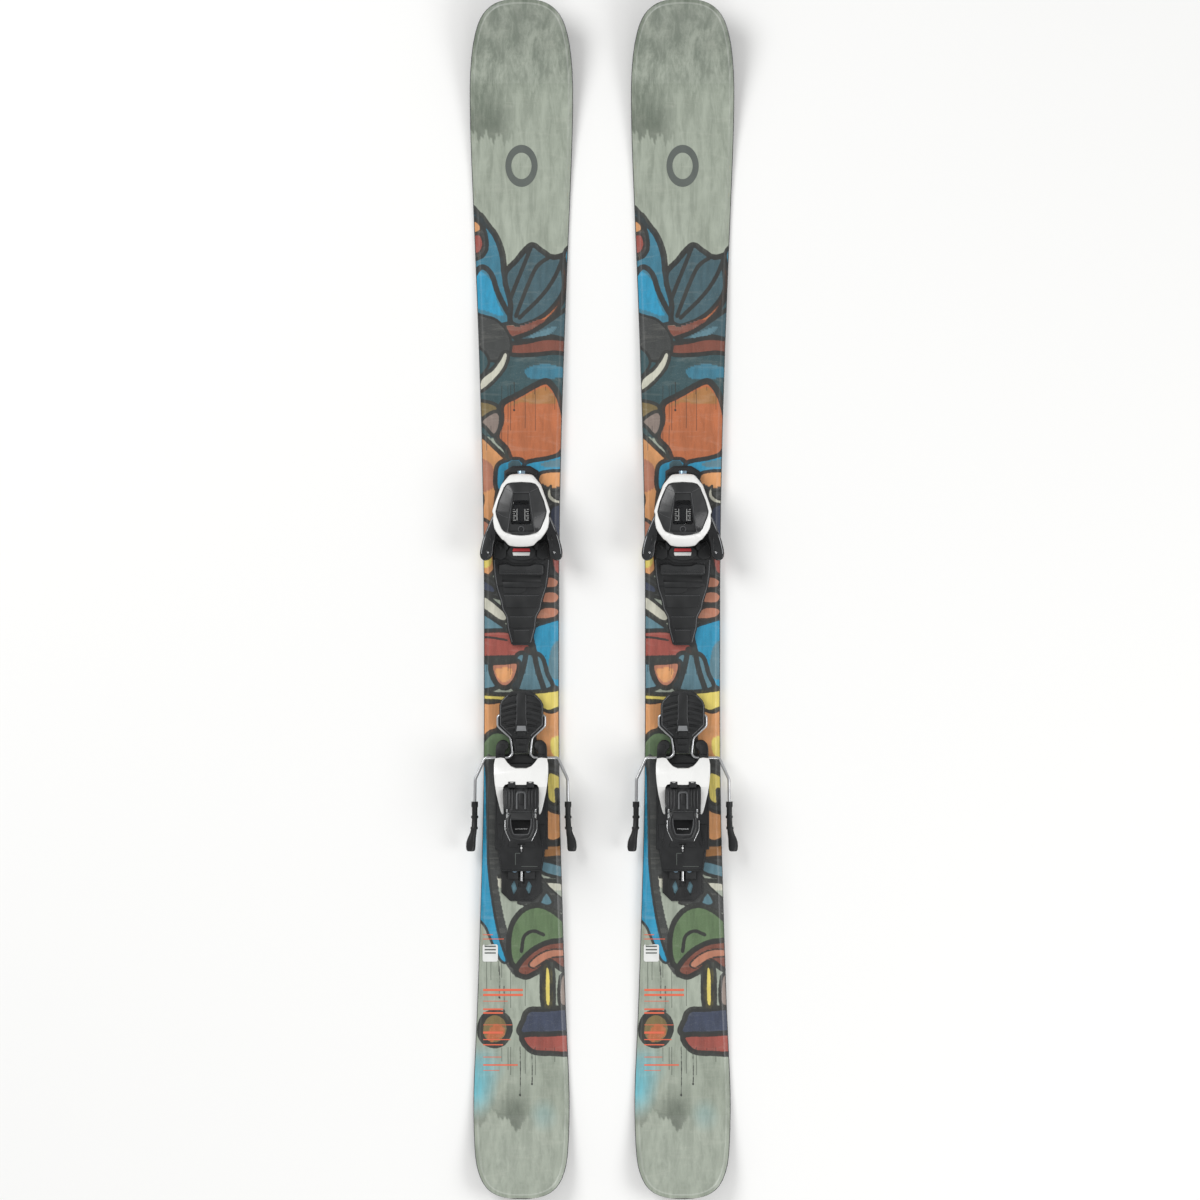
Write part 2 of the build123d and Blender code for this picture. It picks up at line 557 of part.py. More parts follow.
def brake_base():
    """Two lobes that the brake's wires turn in, on a plate in front of the carriage."""
    plate = block(-28, 28, -178, -153, 0.6, 5.0)
    lobe = [(13.6, -153.0), (24.0, -153.0), (28.0, -158.0), (28.0, -178.0), (17.6, -178.0)]
    lobe += [(17.6, -163.6), (13.6, -161.0)]
    lobes = both_sides(prism(make_face(Polyline(*lobe, close=True)), 5.0, 13.0))
    stop = block(-6.8, 6.8, -178.0, -171.5, 5.0, 7.6)
    room = both_sides(crossbar(7.4, 8.0, 17.6, *BRAKE_AXLE))
    bores = both_sides(crossbar(WIRE_RADIUS + FIT, 17, 30, *BRAKE_AXLE))
    return plate + lobes + stop - room - bores


def brake_pedal():
    """Ribbed octagonal pedal under the boot's heel, with a neck back towards the axle."""
    outline = half_face(PEDAL_OUTLINE)
    pedal = prism(outline, 6.0, 12.5)
    pedal += prism(outline, 12.5, 15.0) & block(-30, 30, -150, -90, 0, 20)
    spine = block(-4.6, 4.6, -148.0, -101.0, 15.0, 17.0)
    ribs = []
    for y in range(-140, -106, 6):
        arc = Pos(0, y - 46, 15.0) * (Circle(46.0 + 3.0) - Circle(46.0))
        reach = block(4.6, 21.4 if y > -134 else 16.0, y - 12, y + 4, 10, 20)
        ribs.append(both_sides(extrude(arc, amount=1.2) & reach))
    clips = both_sides(brake_wire())
    return pedal + spine + ribs - clips


def brake_tips():
    """Plastic ends of the two arms."""
    tip = prism(make_face(Polyline(*TIP_OUTLINE, close=True)), 5.4, 12.6) - brake_wire()
    return Compound([tip, mirror(tip, about=Plane.YZ)])


# ---- Build both skis -----------------------------------------------------------------------
ON_THE_SNOW = [running_base, steel_edges, core, cap_topsheet]
ON_THE_TOP = [
    mounting_screws, toe_baseplate, toe_housing, toe_cover, toe_window, toe_indicator, toe_spring,
    toe_adjust_screw, toe_wing_left, toe_wing_right, toe_wing_pins, afd_slider, heel_track,
    heel_carriage, length_screw, heel_bracket, heel_axle_pins, heel_shell, heel_lever, heel_spring,
    heel_indicator, heel_adjust_screw, brake_base, brake_wires, brake_pedal, brake_tips,
]

for make in ON_THE_SNOW + ON_THE_TOP:
    lift = SKI_TOP if make in ON_THE_TOP else 0.0
    piece = make()
    for ski, x in (("left", -SKI_SPACING / 2), ("right", SKI_SPACING / 2)):
        export_step(Pos(x, 0, lift) * piece, f"parts/{ski}_{make.__name__}.step")
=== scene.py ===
"""Looks for a pair of junior twin-tip alpine skis with step-in bindings.

Shapes are given in millimetres and in one ski's own coordinates: X across, Y towards the tip,
Z up from the snow. Each piece is made once and placed on both skis. The studio is in metres.
"""

import json
import math

import bmesh
import bpy
import numpy as np
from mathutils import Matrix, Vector
from mathutils.bvhtree import BVHTree

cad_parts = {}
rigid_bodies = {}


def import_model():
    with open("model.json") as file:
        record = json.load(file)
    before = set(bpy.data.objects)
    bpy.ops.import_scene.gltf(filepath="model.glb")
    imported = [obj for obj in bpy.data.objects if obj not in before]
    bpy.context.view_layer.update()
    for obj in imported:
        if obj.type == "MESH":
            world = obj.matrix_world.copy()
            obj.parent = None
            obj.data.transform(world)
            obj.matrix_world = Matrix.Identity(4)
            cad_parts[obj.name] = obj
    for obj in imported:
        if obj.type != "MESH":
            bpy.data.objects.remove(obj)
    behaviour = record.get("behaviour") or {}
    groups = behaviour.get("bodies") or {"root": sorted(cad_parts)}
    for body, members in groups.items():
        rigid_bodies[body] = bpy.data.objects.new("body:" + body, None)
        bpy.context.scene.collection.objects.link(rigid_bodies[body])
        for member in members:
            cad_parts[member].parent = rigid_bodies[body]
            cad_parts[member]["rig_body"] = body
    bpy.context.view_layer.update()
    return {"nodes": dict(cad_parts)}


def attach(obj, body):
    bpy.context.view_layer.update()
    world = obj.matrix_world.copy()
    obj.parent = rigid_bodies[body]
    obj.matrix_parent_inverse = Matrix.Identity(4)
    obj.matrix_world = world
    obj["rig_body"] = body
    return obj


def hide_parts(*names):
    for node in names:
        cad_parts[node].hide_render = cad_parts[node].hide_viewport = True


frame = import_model()
NODES = frame["nodes"]

MM = 0.001
SKI_TOP = 12.0
SKI_X = {"left": -87.5, "right": 87.5}
HALF_LENGTH = 650.0
TIP_CONTACT, TIP_RISE = 440.0, 52.0            # from here the base rises towards the tip
TAIL_CONTACT, TAIL_RISE = 500.0, 28.0
SHOULDER_DOWN, SHOULDER_IN = 2.6, 4.6          # the cap's sloping shoulder
RIM_INSET = 3.7                                # where the shoulder's lacquer catches the light
EDGE_REVEAL = 0.8                              # how far the steel edge shows outside the cap


# ---- Colours -------------------------------------------------------------------------------
def linear(red, green, blue):
    """sRGB, 0 to 255, as the linear colour that shaders use."""
    parts = [channel / 255 for channel in (red, green, blue)]
    return tuple(((c + 0.055) / 1.055) ** 2.4 if c > 0.04045 else c / 12.92 for c in parts)


INK = linear(36, 37, 36)
CONCRETE = linear(164, 172, 158)
STREAK = linear(96, 106, 93)
BLUE = linear(34, 148, 188)
CYAN = linear(112, 190, 204)
MUTED_BLUE = linear(56, 122, 146)
TEAL = linear(62, 92, 102)
DEEP_TEAL = linear(48, 78, 84)
PALE_TEAL = linear(92, 130, 144)
NAVY = linear(58, 66, 88)
TERRACOTTA = linear(186, 106, 64)
OCHRE = linear(168, 116, 66)
ORANGE = linear(224, 158, 102)
YELLOW = linear(232, 212, 108)
SALMON = linear(188, 124, 98)
BROWN_RED = linear(124, 70, 56)
RED = linear(158, 76, 66)
GREEN = linear(94, 118, 82)
OLIVE = linear(128, 110, 70)
CREAM = linear(208, 206, 190)
MAUVE = linear(146, 130, 122)
CHARCOAL = linear(58, 60, 60)
STAIN = linear(104, 112, 100)


# ---- Procedural materials ------------------------------------------------------------------
class Surface:
    """A material built from nodes; lengths in its textures are object coordinates in metres."""

    def __init__(self, name, **constants):
        self.material = bpy.data.materials.new(name)
        self.material.use_nodes = True
        self.tree = self.material.node_tree
        self.shader = self.tree.nodes["Principled BSDF"]
        for socket, value in constants.items():
            self.shader.inputs[socket.replace("_", " ")].default_value = value
        self.place = self.add("ShaderNodeTexCoord").outputs["Object"]

    def add(self, kind, inputs=None, **settings):
        node = self.tree.nodes.new(kind)
        for key, value in settings.items():
            setattr(node, key, value)
        for socket, value in (inputs or {}).items():
            self.feed(node.inputs[socket], value)
        return node

    def feed(self, socket, value):
        if isinstance(value, bpy.types.NodeSocket):
            self.tree.links.new(value, socket)
        elif isinstance(value, tuple) and socket.type == "RGBA" and len(value) == 3:
            socket.default_value = (*value, 1.0)
        else:
            socket.default_value = value

    def noise(self, scale, detail=4.0, rough=0.55, stretch=(1.0, 1.0, 1.0), warp=0.0):
        """Noise with `scale` features a metre, drawn out along the axes with a small stretch."""
        mapped = self.add("ShaderNodeMapping", {"Vector": self.place, "Scale": stretch})
        inputs = {
            "Vector": mapped.outputs[0], "Scale": scale, "Detail": detail,
            "Roughness": rough, "Distortion": warp,
        }
        return self.add("ShaderNodeTexNoise", inputs).outputs["Fac"]

    def cells(self, scale, stretch=(1.0, 1.0, 1.0)):
        """Distance to the nearest of many scattered points."""
        mapped = self.add("ShaderNodeMapping", {"Vector": self.place, "Scale": stretch})
        return self.add(
            "ShaderNodeTexVoronoi", {"Vector": mapped.outputs[0], "Scale": scale},
        ).outputs["Distance"]

    def span(self, value, low, high, out_low=0.0, out_high=1.0):
        """A smooth step between two values."""
        inputs = {"Value": value, "From Min": low, "From Max": high, "To Min": out_low, "To Max": out_high}
        return self.add("ShaderNodeMapRange", inputs, interpolation_type="SMOOTHSTEP").outputs[0]

    def sum(self, operation, first, second):
        return self.add("ShaderNodeMath", {0: first, 1: second}, operation=operation).outputs[0]

    def mix(self, factor, first, second, blend="MIX"):
        node = self.add(
            "ShaderNodeMix", {0: factor, 6: first, 7: second}, data_type="RGBA", blend_type=blend,
        )
        return node.outputs[2]

    def bump(self, height, strength, distance=0.0001):
        node = self.add("ShaderNodeBump", {"Height": height, "Strength": strength, "Distance": distance})
        self.tree.links.new(node.outputs[0], self.shader.inputs["Normal"])

    def finish(self, colour, roughness):
        self.feed(self.shader.inputs["Base Color"], colour)
        self.feed(self.shader.inputs["Roughness"], roughness)
        return self.material


def plastic(name, colour, worn, low, high, grain=2600.0, depth=0.12, coat=0.0, shine=0.5):
    """Moulded plastic: an even grain, faint flow marks, rubbed patches and fine scratches."""
    s = Surface(name, Coat_Weight=coat, Coat_Roughness=0.12, IOR=1.5, Specular_IOR_Level=shine)
    flow = s.noise(55.0, 3.0, 0.5, (1.0, 0.4, 1.0), 0.6)
    rubbed = s.span(s.noise(38.0, 6.0, 0.62), 0.50, 0.78)
    scratches = s.span(s.noise(900.0, 3.0, 0.6, (1.0, 0.06, 1.0), 1.4), 0.66, 0.74)
    fine = s.noise(grain, 2.0, 0.5)
    toned = s.mix(s.span(flow, 0.3, 0.7, 0.0, 0.35), colour, worn)
    toned = s.mix(s.sum("MULTIPLY", rubbed, 0.28), toned, worn)
    toned = s.mix(s.sum("MULTIPLY", scratches, 0.20), toned, worn)
    roughness = s.span(s.sum("ADD", flow, s.sum("MULTIPLY", rubbed, 0.3)), 0.3, 0.9, low, high)
    height = s.sum("ADD", fine, s.sum("MULTIPLY", scratches, -0.5))
    s.bump(height, depth)
    return s.finish(toned, roughness)


def metal(name, colour, worn, low, high, stretch=(1.0, 0.05, 1.0), depth=0.08):
    """Metal with a drawn or brushed grain, handling marks and slight tarnish."""
    s = Surface(name, Metallic=1.0)
    brushed = s.noise(2200.0, 3.0, 0.6, stretch)
    tarnish = s.span(s.noise(90.0, 5.0, 0.6), 0.42, 0.75)
    nicks = s.span(s.cells(420.0), 0.02, 0.09, 1.0, 0.0)
    toned = s.mix(s.sum("MULTIPLY", tarnish, 0.55), colour, worn)
    toned = s.mix(s.sum("MULTIPLY", brushed, 0.22), toned, worn)
    roughness = s.span(s.sum("ADD", brushed, tarnish), 0.4, 1.5, low, high)
    s.bump(s.sum("ADD", brushed, s.sum("MULTIPLY", nicks, -0.4)), depth)
    return s.finish(toned, roughness)


def topsheet_material():
    """The printed topsheet under its clear lacquer, from the painted attributes of its mesh."""
    s = Surface("topsheet", Coat_Weight=0.28, Coat_Roughness=0.2, IOR=1.5, Specular_IOR_Level=0.3)
    paint = s.add("ShaderNodeAttribute", attribute_name="paint").outputs["Color"]
    ink = s.add("ShaderNodeAttribute", attribute_name="ink").outputs["Fac"]
    washed = s.add("ShaderNodeAttribute", attribute_name="wash").outputs["Fac"]
    drip = s.add("ShaderNodeAttribute", attribute_name="drip").outputs["Fac"]
    rim = s.add("ShaderNodeAttribute", attribute_name="rim").outputs["Fac"]
    cloud = s.noise(26.0, 7.0, 0.62, (1.0, 0.55, 1.0), 0.4)
    brush = s.noise(150.0, 6.0, 0.65, (1.0, 0.16, 1.0), 0.5)
    crossed = s.noise(120.0, 5.0, 0.65, (0.2, 1.0, 1.0), 0.8)
    grain = s.noise(1500.0, 3.0, 0.6)
    edge = s.noise(330.0, 4.0, 0.6)
    # Brush marks inside the painted fields, clouds and streaks on the bare ground.
    dark = s.mix(1.0, paint, (0.36, 0.38, 0.36), "MULTIPLY")
    light = s.mix(0.30, paint, (0.80, 0.78, 0.68))
    tone = s.mix(s.span(brush, 0.34, 0.70, 0.0, 0.42), paint, dark)
    tone = s.mix(s.span(crossed, 0.50, 0.74, 0.0, 0.24), tone, light)
    streak = s.noise(70.0, 7.0, 0.72, (1.0, 0.07, 1.0), 0.3)
    stain = s.sum("MULTIPLY", s.span(streak, 0.36, 0.64), s.span(washed, 0.03, 1.0))
    tone = s.mix(s.sum("MULTIPLY", stain, 0.85), tone, STREAK)
    tone = s.mix(
        s.span(cloud, 0.38, 0.70, 0.0, 0.26), tone, s.mix(1.0, tone, (0.50, 0.52, 0.48), "MULTIPLY"),
    )
    tone = s.mix(s.span(grain, 0.58, 0.74, 0.0, 0.20), tone, (0.60, 0.60, 0.54))
    specks = s.span(s.cells(620.0), 0.03, 0.13, 0.34, 0.0)
    specks = s.sum("MULTIPLY", specks, s.span(s.noise(90.0, 3.0), 0.45, 0.65))
    tone = s.mix(specks, tone, INK)
    # Drips: narrow runs side by side, each with its own length.
    across = s.add("ShaderNodeSeparateXYZ", {0: s.place}).outputs[0]
    wander = s.sum("MULTIPLY", s.noise(90.0, 2.0), 0.0007)
    lanes = s.add(
        "ShaderNodeTexVoronoi", {"W": s.sum("ADD", across, wander), "Scale": 260.0},
        voronoi_dimensions="1D",
    )
    lengths = s.add("ShaderNodeSeparateColor", {0: lanes.outputs["Color"]}).outputs
    runs = s.span(lanes.outputs["Distance"], 0.07, 0.13, 1.0, 0.0)
    runs = s.sum("MULTIPLY", runs, s.sum("GREATER_THAN", drip, s.span(lengths[0], 0.0, 1.0, 0.10, 0.92)))
    runs = s.sum("MULTIPLY", runs, s.sum("GREATER_THAN", lengths[1], 0.5))
    tone = s.mix(s.sum("MULTIPLY", runs, 0.62), tone, INK)
    # Outlines, with a slightly ragged edge and thin spots.
    ragged = s.sum("ADD", ink, s.sum("MULTIPLY", s.sum("SUBTRACT", edge, 0.5), 1.3))
    line = s.span(ragged, -0.45, 0.35, 1.0, 0.0)
    thin = s.span(s.noise(210.0, 5.0, 0.7, (1.0, 0.3, 1.0)), 0.25, 0.62, 0.88, 1.0)
    inked = s.mix(s.span(cloud, 0.35, 0.7, 0.0, 0.5), INK, linear(60, 61, 58))
    tone = s.mix(s.sum("MULTIPLY", line, thin), tone, inked)
    # A painted highlight: a pale line mixed into the colour along the top of the bevelled shoulder, where
    # the lacquer catches the light.
    tone = s.mix(s.sum("MULTIPLY", rim, 0.22), tone, (0.86, 0.88, 0.84))
    roughness = s.span(s.noise(70.0, 5.0, 0.6), 0.35, 0.75, 0.32, 0.48)
    s.bump(s.sum("ADD", grain, s.sum("MULTIPLY", line, 0.4)), 0.06)
    return s.finish(tone, roughness)


def window_material():
    """Smoked clear plastic with a few hairline scratches."""
    s = Surface("clear_window", Alpha=0.2, IOR=1.49, Coat_Weight=0.3, Coat_Roughness=0.05)
    hairlines = s.span(s.noise(700.0, 3.0, 0.6, (1.0, 0.05, 1.0), 1.0), 0.64, 0.72)
    haze = s.noise(60.0, 4.0, 0.6)
    colour = s.mix(s.sum("MULTIPLY", hairlines, 0.3), linear(20, 22, 25), linear(120, 124, 128))
    s.bump(hairlines, 0.05)
    return s.finish(colour, s.span(s.sum("ADD", hairlines, haze), 0.3, 1.4, 0.06, 0.24))


def wood_material():
    """Laminated wood core: long grain in glued strips."""
    s = Surface("core_wood")
    grain = s.noise(420.0, 6.0, 0.6, (1.0, 0.03, 1.0), 0.5)
    strips = s.add(
        "ShaderNodeTexWave", {"Vector": s.place, "Scale": 28.0, "Distortion": 0.0},
    ).outputs["Fac"]
    colour = s.mix(grain, linear(214, 184, 138), linear(168, 128, 84))
    colour = s.mix(s.span(strips, 0.0, 0.06, 0.5, 0.0), colour, linear(120, 86, 52))
    s.bump(grain, 0.15)
    return s.finish(colour, s.span(grain, 0.2, 0.8, 0.45, 0.7))


def base_material():
    """Sintered running base: black, with a fine stone-ground structure and dry wax."""
    s = Surface("running_base", IOR=1.5)
    structure = s.noise(2400.0, 3.0, 0.6, (1.0, 0.02, 1.0))
    wax = s.span(s.noise(30.0, 6.0, 0.65, (1.0, 0.3, 1.0)), 0.45, 0.75)
    colour = s.mix(s.sum("MULTIPLY", wax, 0.35), linear(36, 37, 39), linear(92, 94, 96))
    s.bump(structure, 0.2)
    return s.finish(colour, s.span(wax, 0.0, 1.0, 0.34, 0.58))


BLACK = plastic("black_plastic", linear(30, 31, 32), linear(50, 51, 52), 0.40, 0.60, shine=0.32)
SATIN_BLACK = plastic(
    "satin_black", linear(36, 37, 38), linear(58, 59, 60), 0.28, 0.44, 1800.0, 0.05, 0.1, 0.4,
)
GLOSS_BLACK = plastic(
    "gloss_black", linear(24, 25, 27), linear(44, 45, 47), 0.16, 0.30, 1400.0, 0.03, 0.3, 0.4,
)
# Paler black for raised beads and rims on black parts: a painted highlight along their edges.
HIGHLIGHT_BLACK = plastic("highlight_black", linear(72, 73, 75), linear(98, 99, 100), 0.30, 0.46, 1800.0, 0.04)
# Pale grey for the wings' rails: a painted highlight, the light line along the glossy black wing's edge.
RAIL_HIGHLIGHT_GREY = plastic(
    "rail_highlight_grey", linear(148, 150, 153), linear(176, 178, 180), 0.20, 0.34, 1400.0, 0.03, 0.3,
)
WHITE = plastic(
    "white_plastic", linear(238, 238, 236), linear(220, 220, 218), 0.24, 0.38, 1800.0, 0.03, 0.25,
)
PALE_GREY = plastic("pale_grey_plastic", linear(128, 130, 132), linear(104, 106, 108), 0.4, 0.6)
SCALE_DARK = plastic("scale_plastic", linear(22, 23, 25), linear(40, 41, 43), 0.3, 0.5, shine=0.3)
MARK_WHITE = plastic("print_white", linear(224, 225, 223), linear(196, 197, 194), 0.4, 0.6, 3000.0, 0.03)
MARK_RED = plastic("print_red", linear(190, 46, 52), linear(148, 42, 46), 0.4, 0.6, 3000.0, 0.03)
MARK_CORAL = plastic("print_coral", linear(222, 104, 74), linear(186, 94, 72), 0.4, 0.6, 3000.0, 0.03)
MARK_GREY = plastic("print_grey", linear(84, 90, 86), linear(98, 104, 99), 0.4, 0.6, 3000.0, 0.03)
BRIGHT = metal("bright_steel", linear(206, 207, 208), linear(158, 159, 160), 0.20, 0.36, depth=0.04)
WIRE = metal("wire_steel", linear(196, 197, 199), linear(160, 161, 163), 0.28, 0.40, (1.0, 1.0, 1.0), 0.015)
ZINC = metal("zinc_steel", linear(150, 176, 196), linear(112, 132, 148), 0.26, 0.42, (1.0, 1.0, 1.0), 0.04)
SPRING = metal("spring_steel", linear(120, 120, 122), linear(80, 78, 76), 0.28, 0.46)
EDGE = metal("edge_steel", linear(118, 120, 122), linear(76, 75, 72), 0.26, 0.46, (1.0, 0.02, 1.0))
WINDOW = window_material()

# Each kind of CAD node: its finish, and the radius that softens its edges (0 leaves it as it is).
FINISH = {
    "running_base": (base_material(), 0.0),
    "steel_edges": (EDGE, 0.0),
    "core": (wood_material(), 0.0),
    "mounting_screws": (ZINC, 0.0),
    "toe_baseplate": (BLACK, 0.5),
    "toe_window": (WINDOW, 0.2),
    "toe_indicator": (SCALE_DARK, 0.0),
    "toe_spring": (SPRING, 0.0),
    "toe_adjust_screw": (ZINC, 0.3),
    "toe_wing_pins": (BRIGHT, 0.0),
    "heel_track": (BLACK, 0.3),
    "heel_carriage": (BLACK, 0.4),
    "length_screw": (BRIGHT, 0.0),
    "heel_bracket": (BRIGHT, 0.3),
    "heel_axle_pins": (BRIGHT, 0.3),
    "heel_shell": (WHITE, 1.2),
    "heel_lever": (BLACK, 0.6),
    "heel_spring": (SPRING, 0.0),
    "heel_indicator": (MARK_WHITE, 0.2),
    "heel_adjust_screw": (ZINC, 0.3),
    "brake_wires": (WIRE, 0.0),
    "brake_pedal": (BLACK, 0.4),
}


# ---- Making pieces -------------------------------------------------------------------------
def place(mesh, body, node=None):
    """Puts a mesh on both skis, to move with a body and, if asked, to stand for a CAD node."""
    for side in SKI_X:
        piece = bpy.data.objects.new(f"{side}_{mesh.name}", mesh)
        bpy.context.scene.collection.objects.link(piece)
        piece.location = (SKI_X[side] * MM, 0.0, 0.0)
        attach(piece, f"{side}_{body}")
        if node:
            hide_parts(f"{side}_{node}")


def mesh_of(name, points, faces, material, sharp):
    """A smooth mesh from points in millimetres, with creases where it turns by over `sharp` degrees."""
    mesh = bpy.data.meshes.new(name)
    mesh.from_pydata([tuple(c * MM for c in p) for p in points], [], faces)
    mesh.validate()
    mesh.materials.append(material)
    mesh.shade_smooth()
    mesh.set_sharp_from_angle(angle=math.radians(sharp))
    return mesh


def soften(kind, material, radius):
    """A CAD node's own shape with its edges rounded, as a moulded or pressed part has them."""
    source = NODES[f"left_{kind}"]
    solid = bmesh.new()
    solid.from_mesh(source.data)
    bmesh.ops.translate(solid, verts=solid.verts, vec=(-SKI_X["left"] * MM, 0, 0))
    bmesh.ops.remove_doubles(solid, verts=solid.verts, dist=2e-6)
    bmesh.ops.dissolve_limit(solid, angle_limit=math.radians(1.0), verts=solid.verts, edges=solid.edges)
    sharp = [e for e in solid.edges if e.is_manifold and e.calc_face_angle(0.0) > math.radians(32.0)]
    bmesh.ops.bevel(
        solid, geom=sharp, offset=radius * MM, offset_type="OFFSET", segments=2, profile=0.5,
        affect="EDGES", clamp_overlap=True,
    )
    mesh = bpy.data.meshes.new(f"soft_{kind}")
    solid.to_mesh(mesh)
    solid.free()
    mesh.materials.append(material)
    mesh.shade_smooth()
    mesh.set_sharp_from_angle(angle=math.radians(38.0))
    return mesh


def dress_nodes():
    """Finishes for the CAD nodes, and softened copies of the moulded ones."""
    for kind, (material, radius) in FINISH.items():
        body = NODES[f"left_{kind}"]["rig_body"].removeprefix("left_")
        if radius:
            place(soften(kind, material, radius), body, kind)
            continue
        for side in SKI_X:
            data = NODES[f"{side}_{kind}"].data
            data.materials.clear()
            data.materials.append(material)


# ---- The topsheet --------------------------------------------------------------------------
def smooth_line(points, closed=True, steps=8):
    """A Catmull-Rom curve through points."""
    p = np.array(points, float)
    if closed:
        p = np.vstack([p[-1], p, p[:2]])
    else:
        p = np.vstack([2 * p[0] - p[1], p, 2 * p[-1] - p[-2]])
    t = np.linspace(0, 1, steps, endpoint=False)[:, None]
    pieces = []
    for a, b, c, d in zip(p, p[1:], p[2:], p[3:]):
        squared, cubed = 2 * a - 5 * b + 4 * c - d, 3 * b - a - 3 * c + d
        pieces.append(0.5 * (2 * b + (c - a) * t + squared * t**2 + cubed * t**3))
    line = np.vstack(pieces)
    return line if closed else np.vstack([line, p[-2]])


def line_distance(where, line):
    """Distance from each point to a polyline."""
    best = np.full(len(where), 1e9)
    for a, b in zip(line, line[1:]):
        along = b - a
        t = np.clip(((where - a) @ along) / max(along @ along, 1e-9), 0, 1)
        best = np.minimum(best, np.hypot(*(where - a - t[:, None] * along).T))
    return best


def inside(where, line):
    """Which points lie inside a closed polyline."""
    x, y = where.T
    crossed = np.zeros(len(where), bool)
    for (x0, y0), (x1, y1) in zip(line, line[1:]):
        if y0 != y1:
            crossed ^= ((y0 > y) != (y1 > y)) & (x < (x1 - x0) * (y - y0) / (y1 - y0) + x0)
    return crossed


class Mural:
    """Colour, outline distance, stain and drips at each point of the topsheet."""

    def __init__(self, where):
        self.where = where
        self.paint = np.tile(CONCRETE, (len(where), 1))
        self.ink = np.full(len(where), 50.0)
        self.wash = np.zeros(len(where))
        self.drip = np.zeros(len(where))

    def near(self, line, margin):
        low, high = line.min(0) - margin, line.max(0) + margin
        return np.flatnonzero(((self.where >= low) & (self.where <= high)).all(1))

    def shape(self, colour, outline, points, smooth=True):
        """A painted field with an ink outline of a given width; 0 leaves the outline out."""
        line = smooth_line(points) if smooth else np.array(points, float)
        line = np.vstack([line, line[0]])
        near = self.near(line, 12.0)
        where = self.where[near]
        away = line_distance(where, line)
        within = inside(where, line)
        edge = away - outline / 2 if outline else np.full(len(near), 50.0)
        covered = edge if outline else np.maximum(self.ink[near], 3.0 - away)
        self.ink[near] = np.where(within, covered, np.minimum(self.ink[near], edge))
        self.paint[near[within]] = colour

    def stroke(self, width, points):
        """An ink line of a given width."""
        line = smooth_line(points, closed=False)
        near = self.near(line, width + 3.0)
        away = line_distance(self.where[near], line) - width / 2
        self.ink[near] = np.minimum(self.ink[near], away)

    def spray(self, colour, centre, size, strength):
        """A soft-edged cloud of colour."""
        reach = np.hypot(*((self.where - centre) / size).T)
        share = (strength * np.clip(1.3 - reach, 0, 1) ** 1.2)[:, None]
        self.paint = self.paint * (1 - share) + np.array(colour) * share

    def run(self, x0, x1, top, length):
        """Drips hanging down from a line."""
        x, y = self.where.T
        across = (x > x0) & (x < x1) & (y < top) & (y > top - length)
        self.drip[across] = np.maximum(self.drip[across], 1 - (top - y[across]) / length)


def bare_tip(m):
    """Bare ground, streaked at the tip and down its left side, with a torn stain."""
    x, y = m.where.T
    m.wash = np.clip((y - 540) / 70, 0, 1) + 0.22 * np.clip((y - 380) / 60, 0, 1)
    m.wash += 0.7 * np.clip((-12 - x) / 22, 0, 1) * np.clip((y - 505) / 12, 0, 1)
    m.wash += 0.45 * np.exp(-(((x - 13) / 6) ** 2)) * np.clip((y - 520) / 30, 0, 1)
    m.wash += 0.28 * np.clip((-430 - y) / 80, 0, 1)
    gloom = 0.24 * np.clip((y - 560) / 70, 0, 1)[:, None]
    m.paint = m.paint * (1 - gloom)
    torn = 503 + 5 * np.sin(x * 0.45) + 3.5 * np.sin(x * 1.13 + 1) - 0.006 * (x + 60) ** 2 * 0.4
    stained = np.clip((y - torn) / 2.0, 0, 1) * np.clip((-4 - x) / 22, 0, 1) * np.clip((575 - y) / 60, 0, 1)
    m.paint = m.paint * (1 - 0.75 * stained[:, None]) + np.array(STAIN) * 0.75 * stained[:, None]


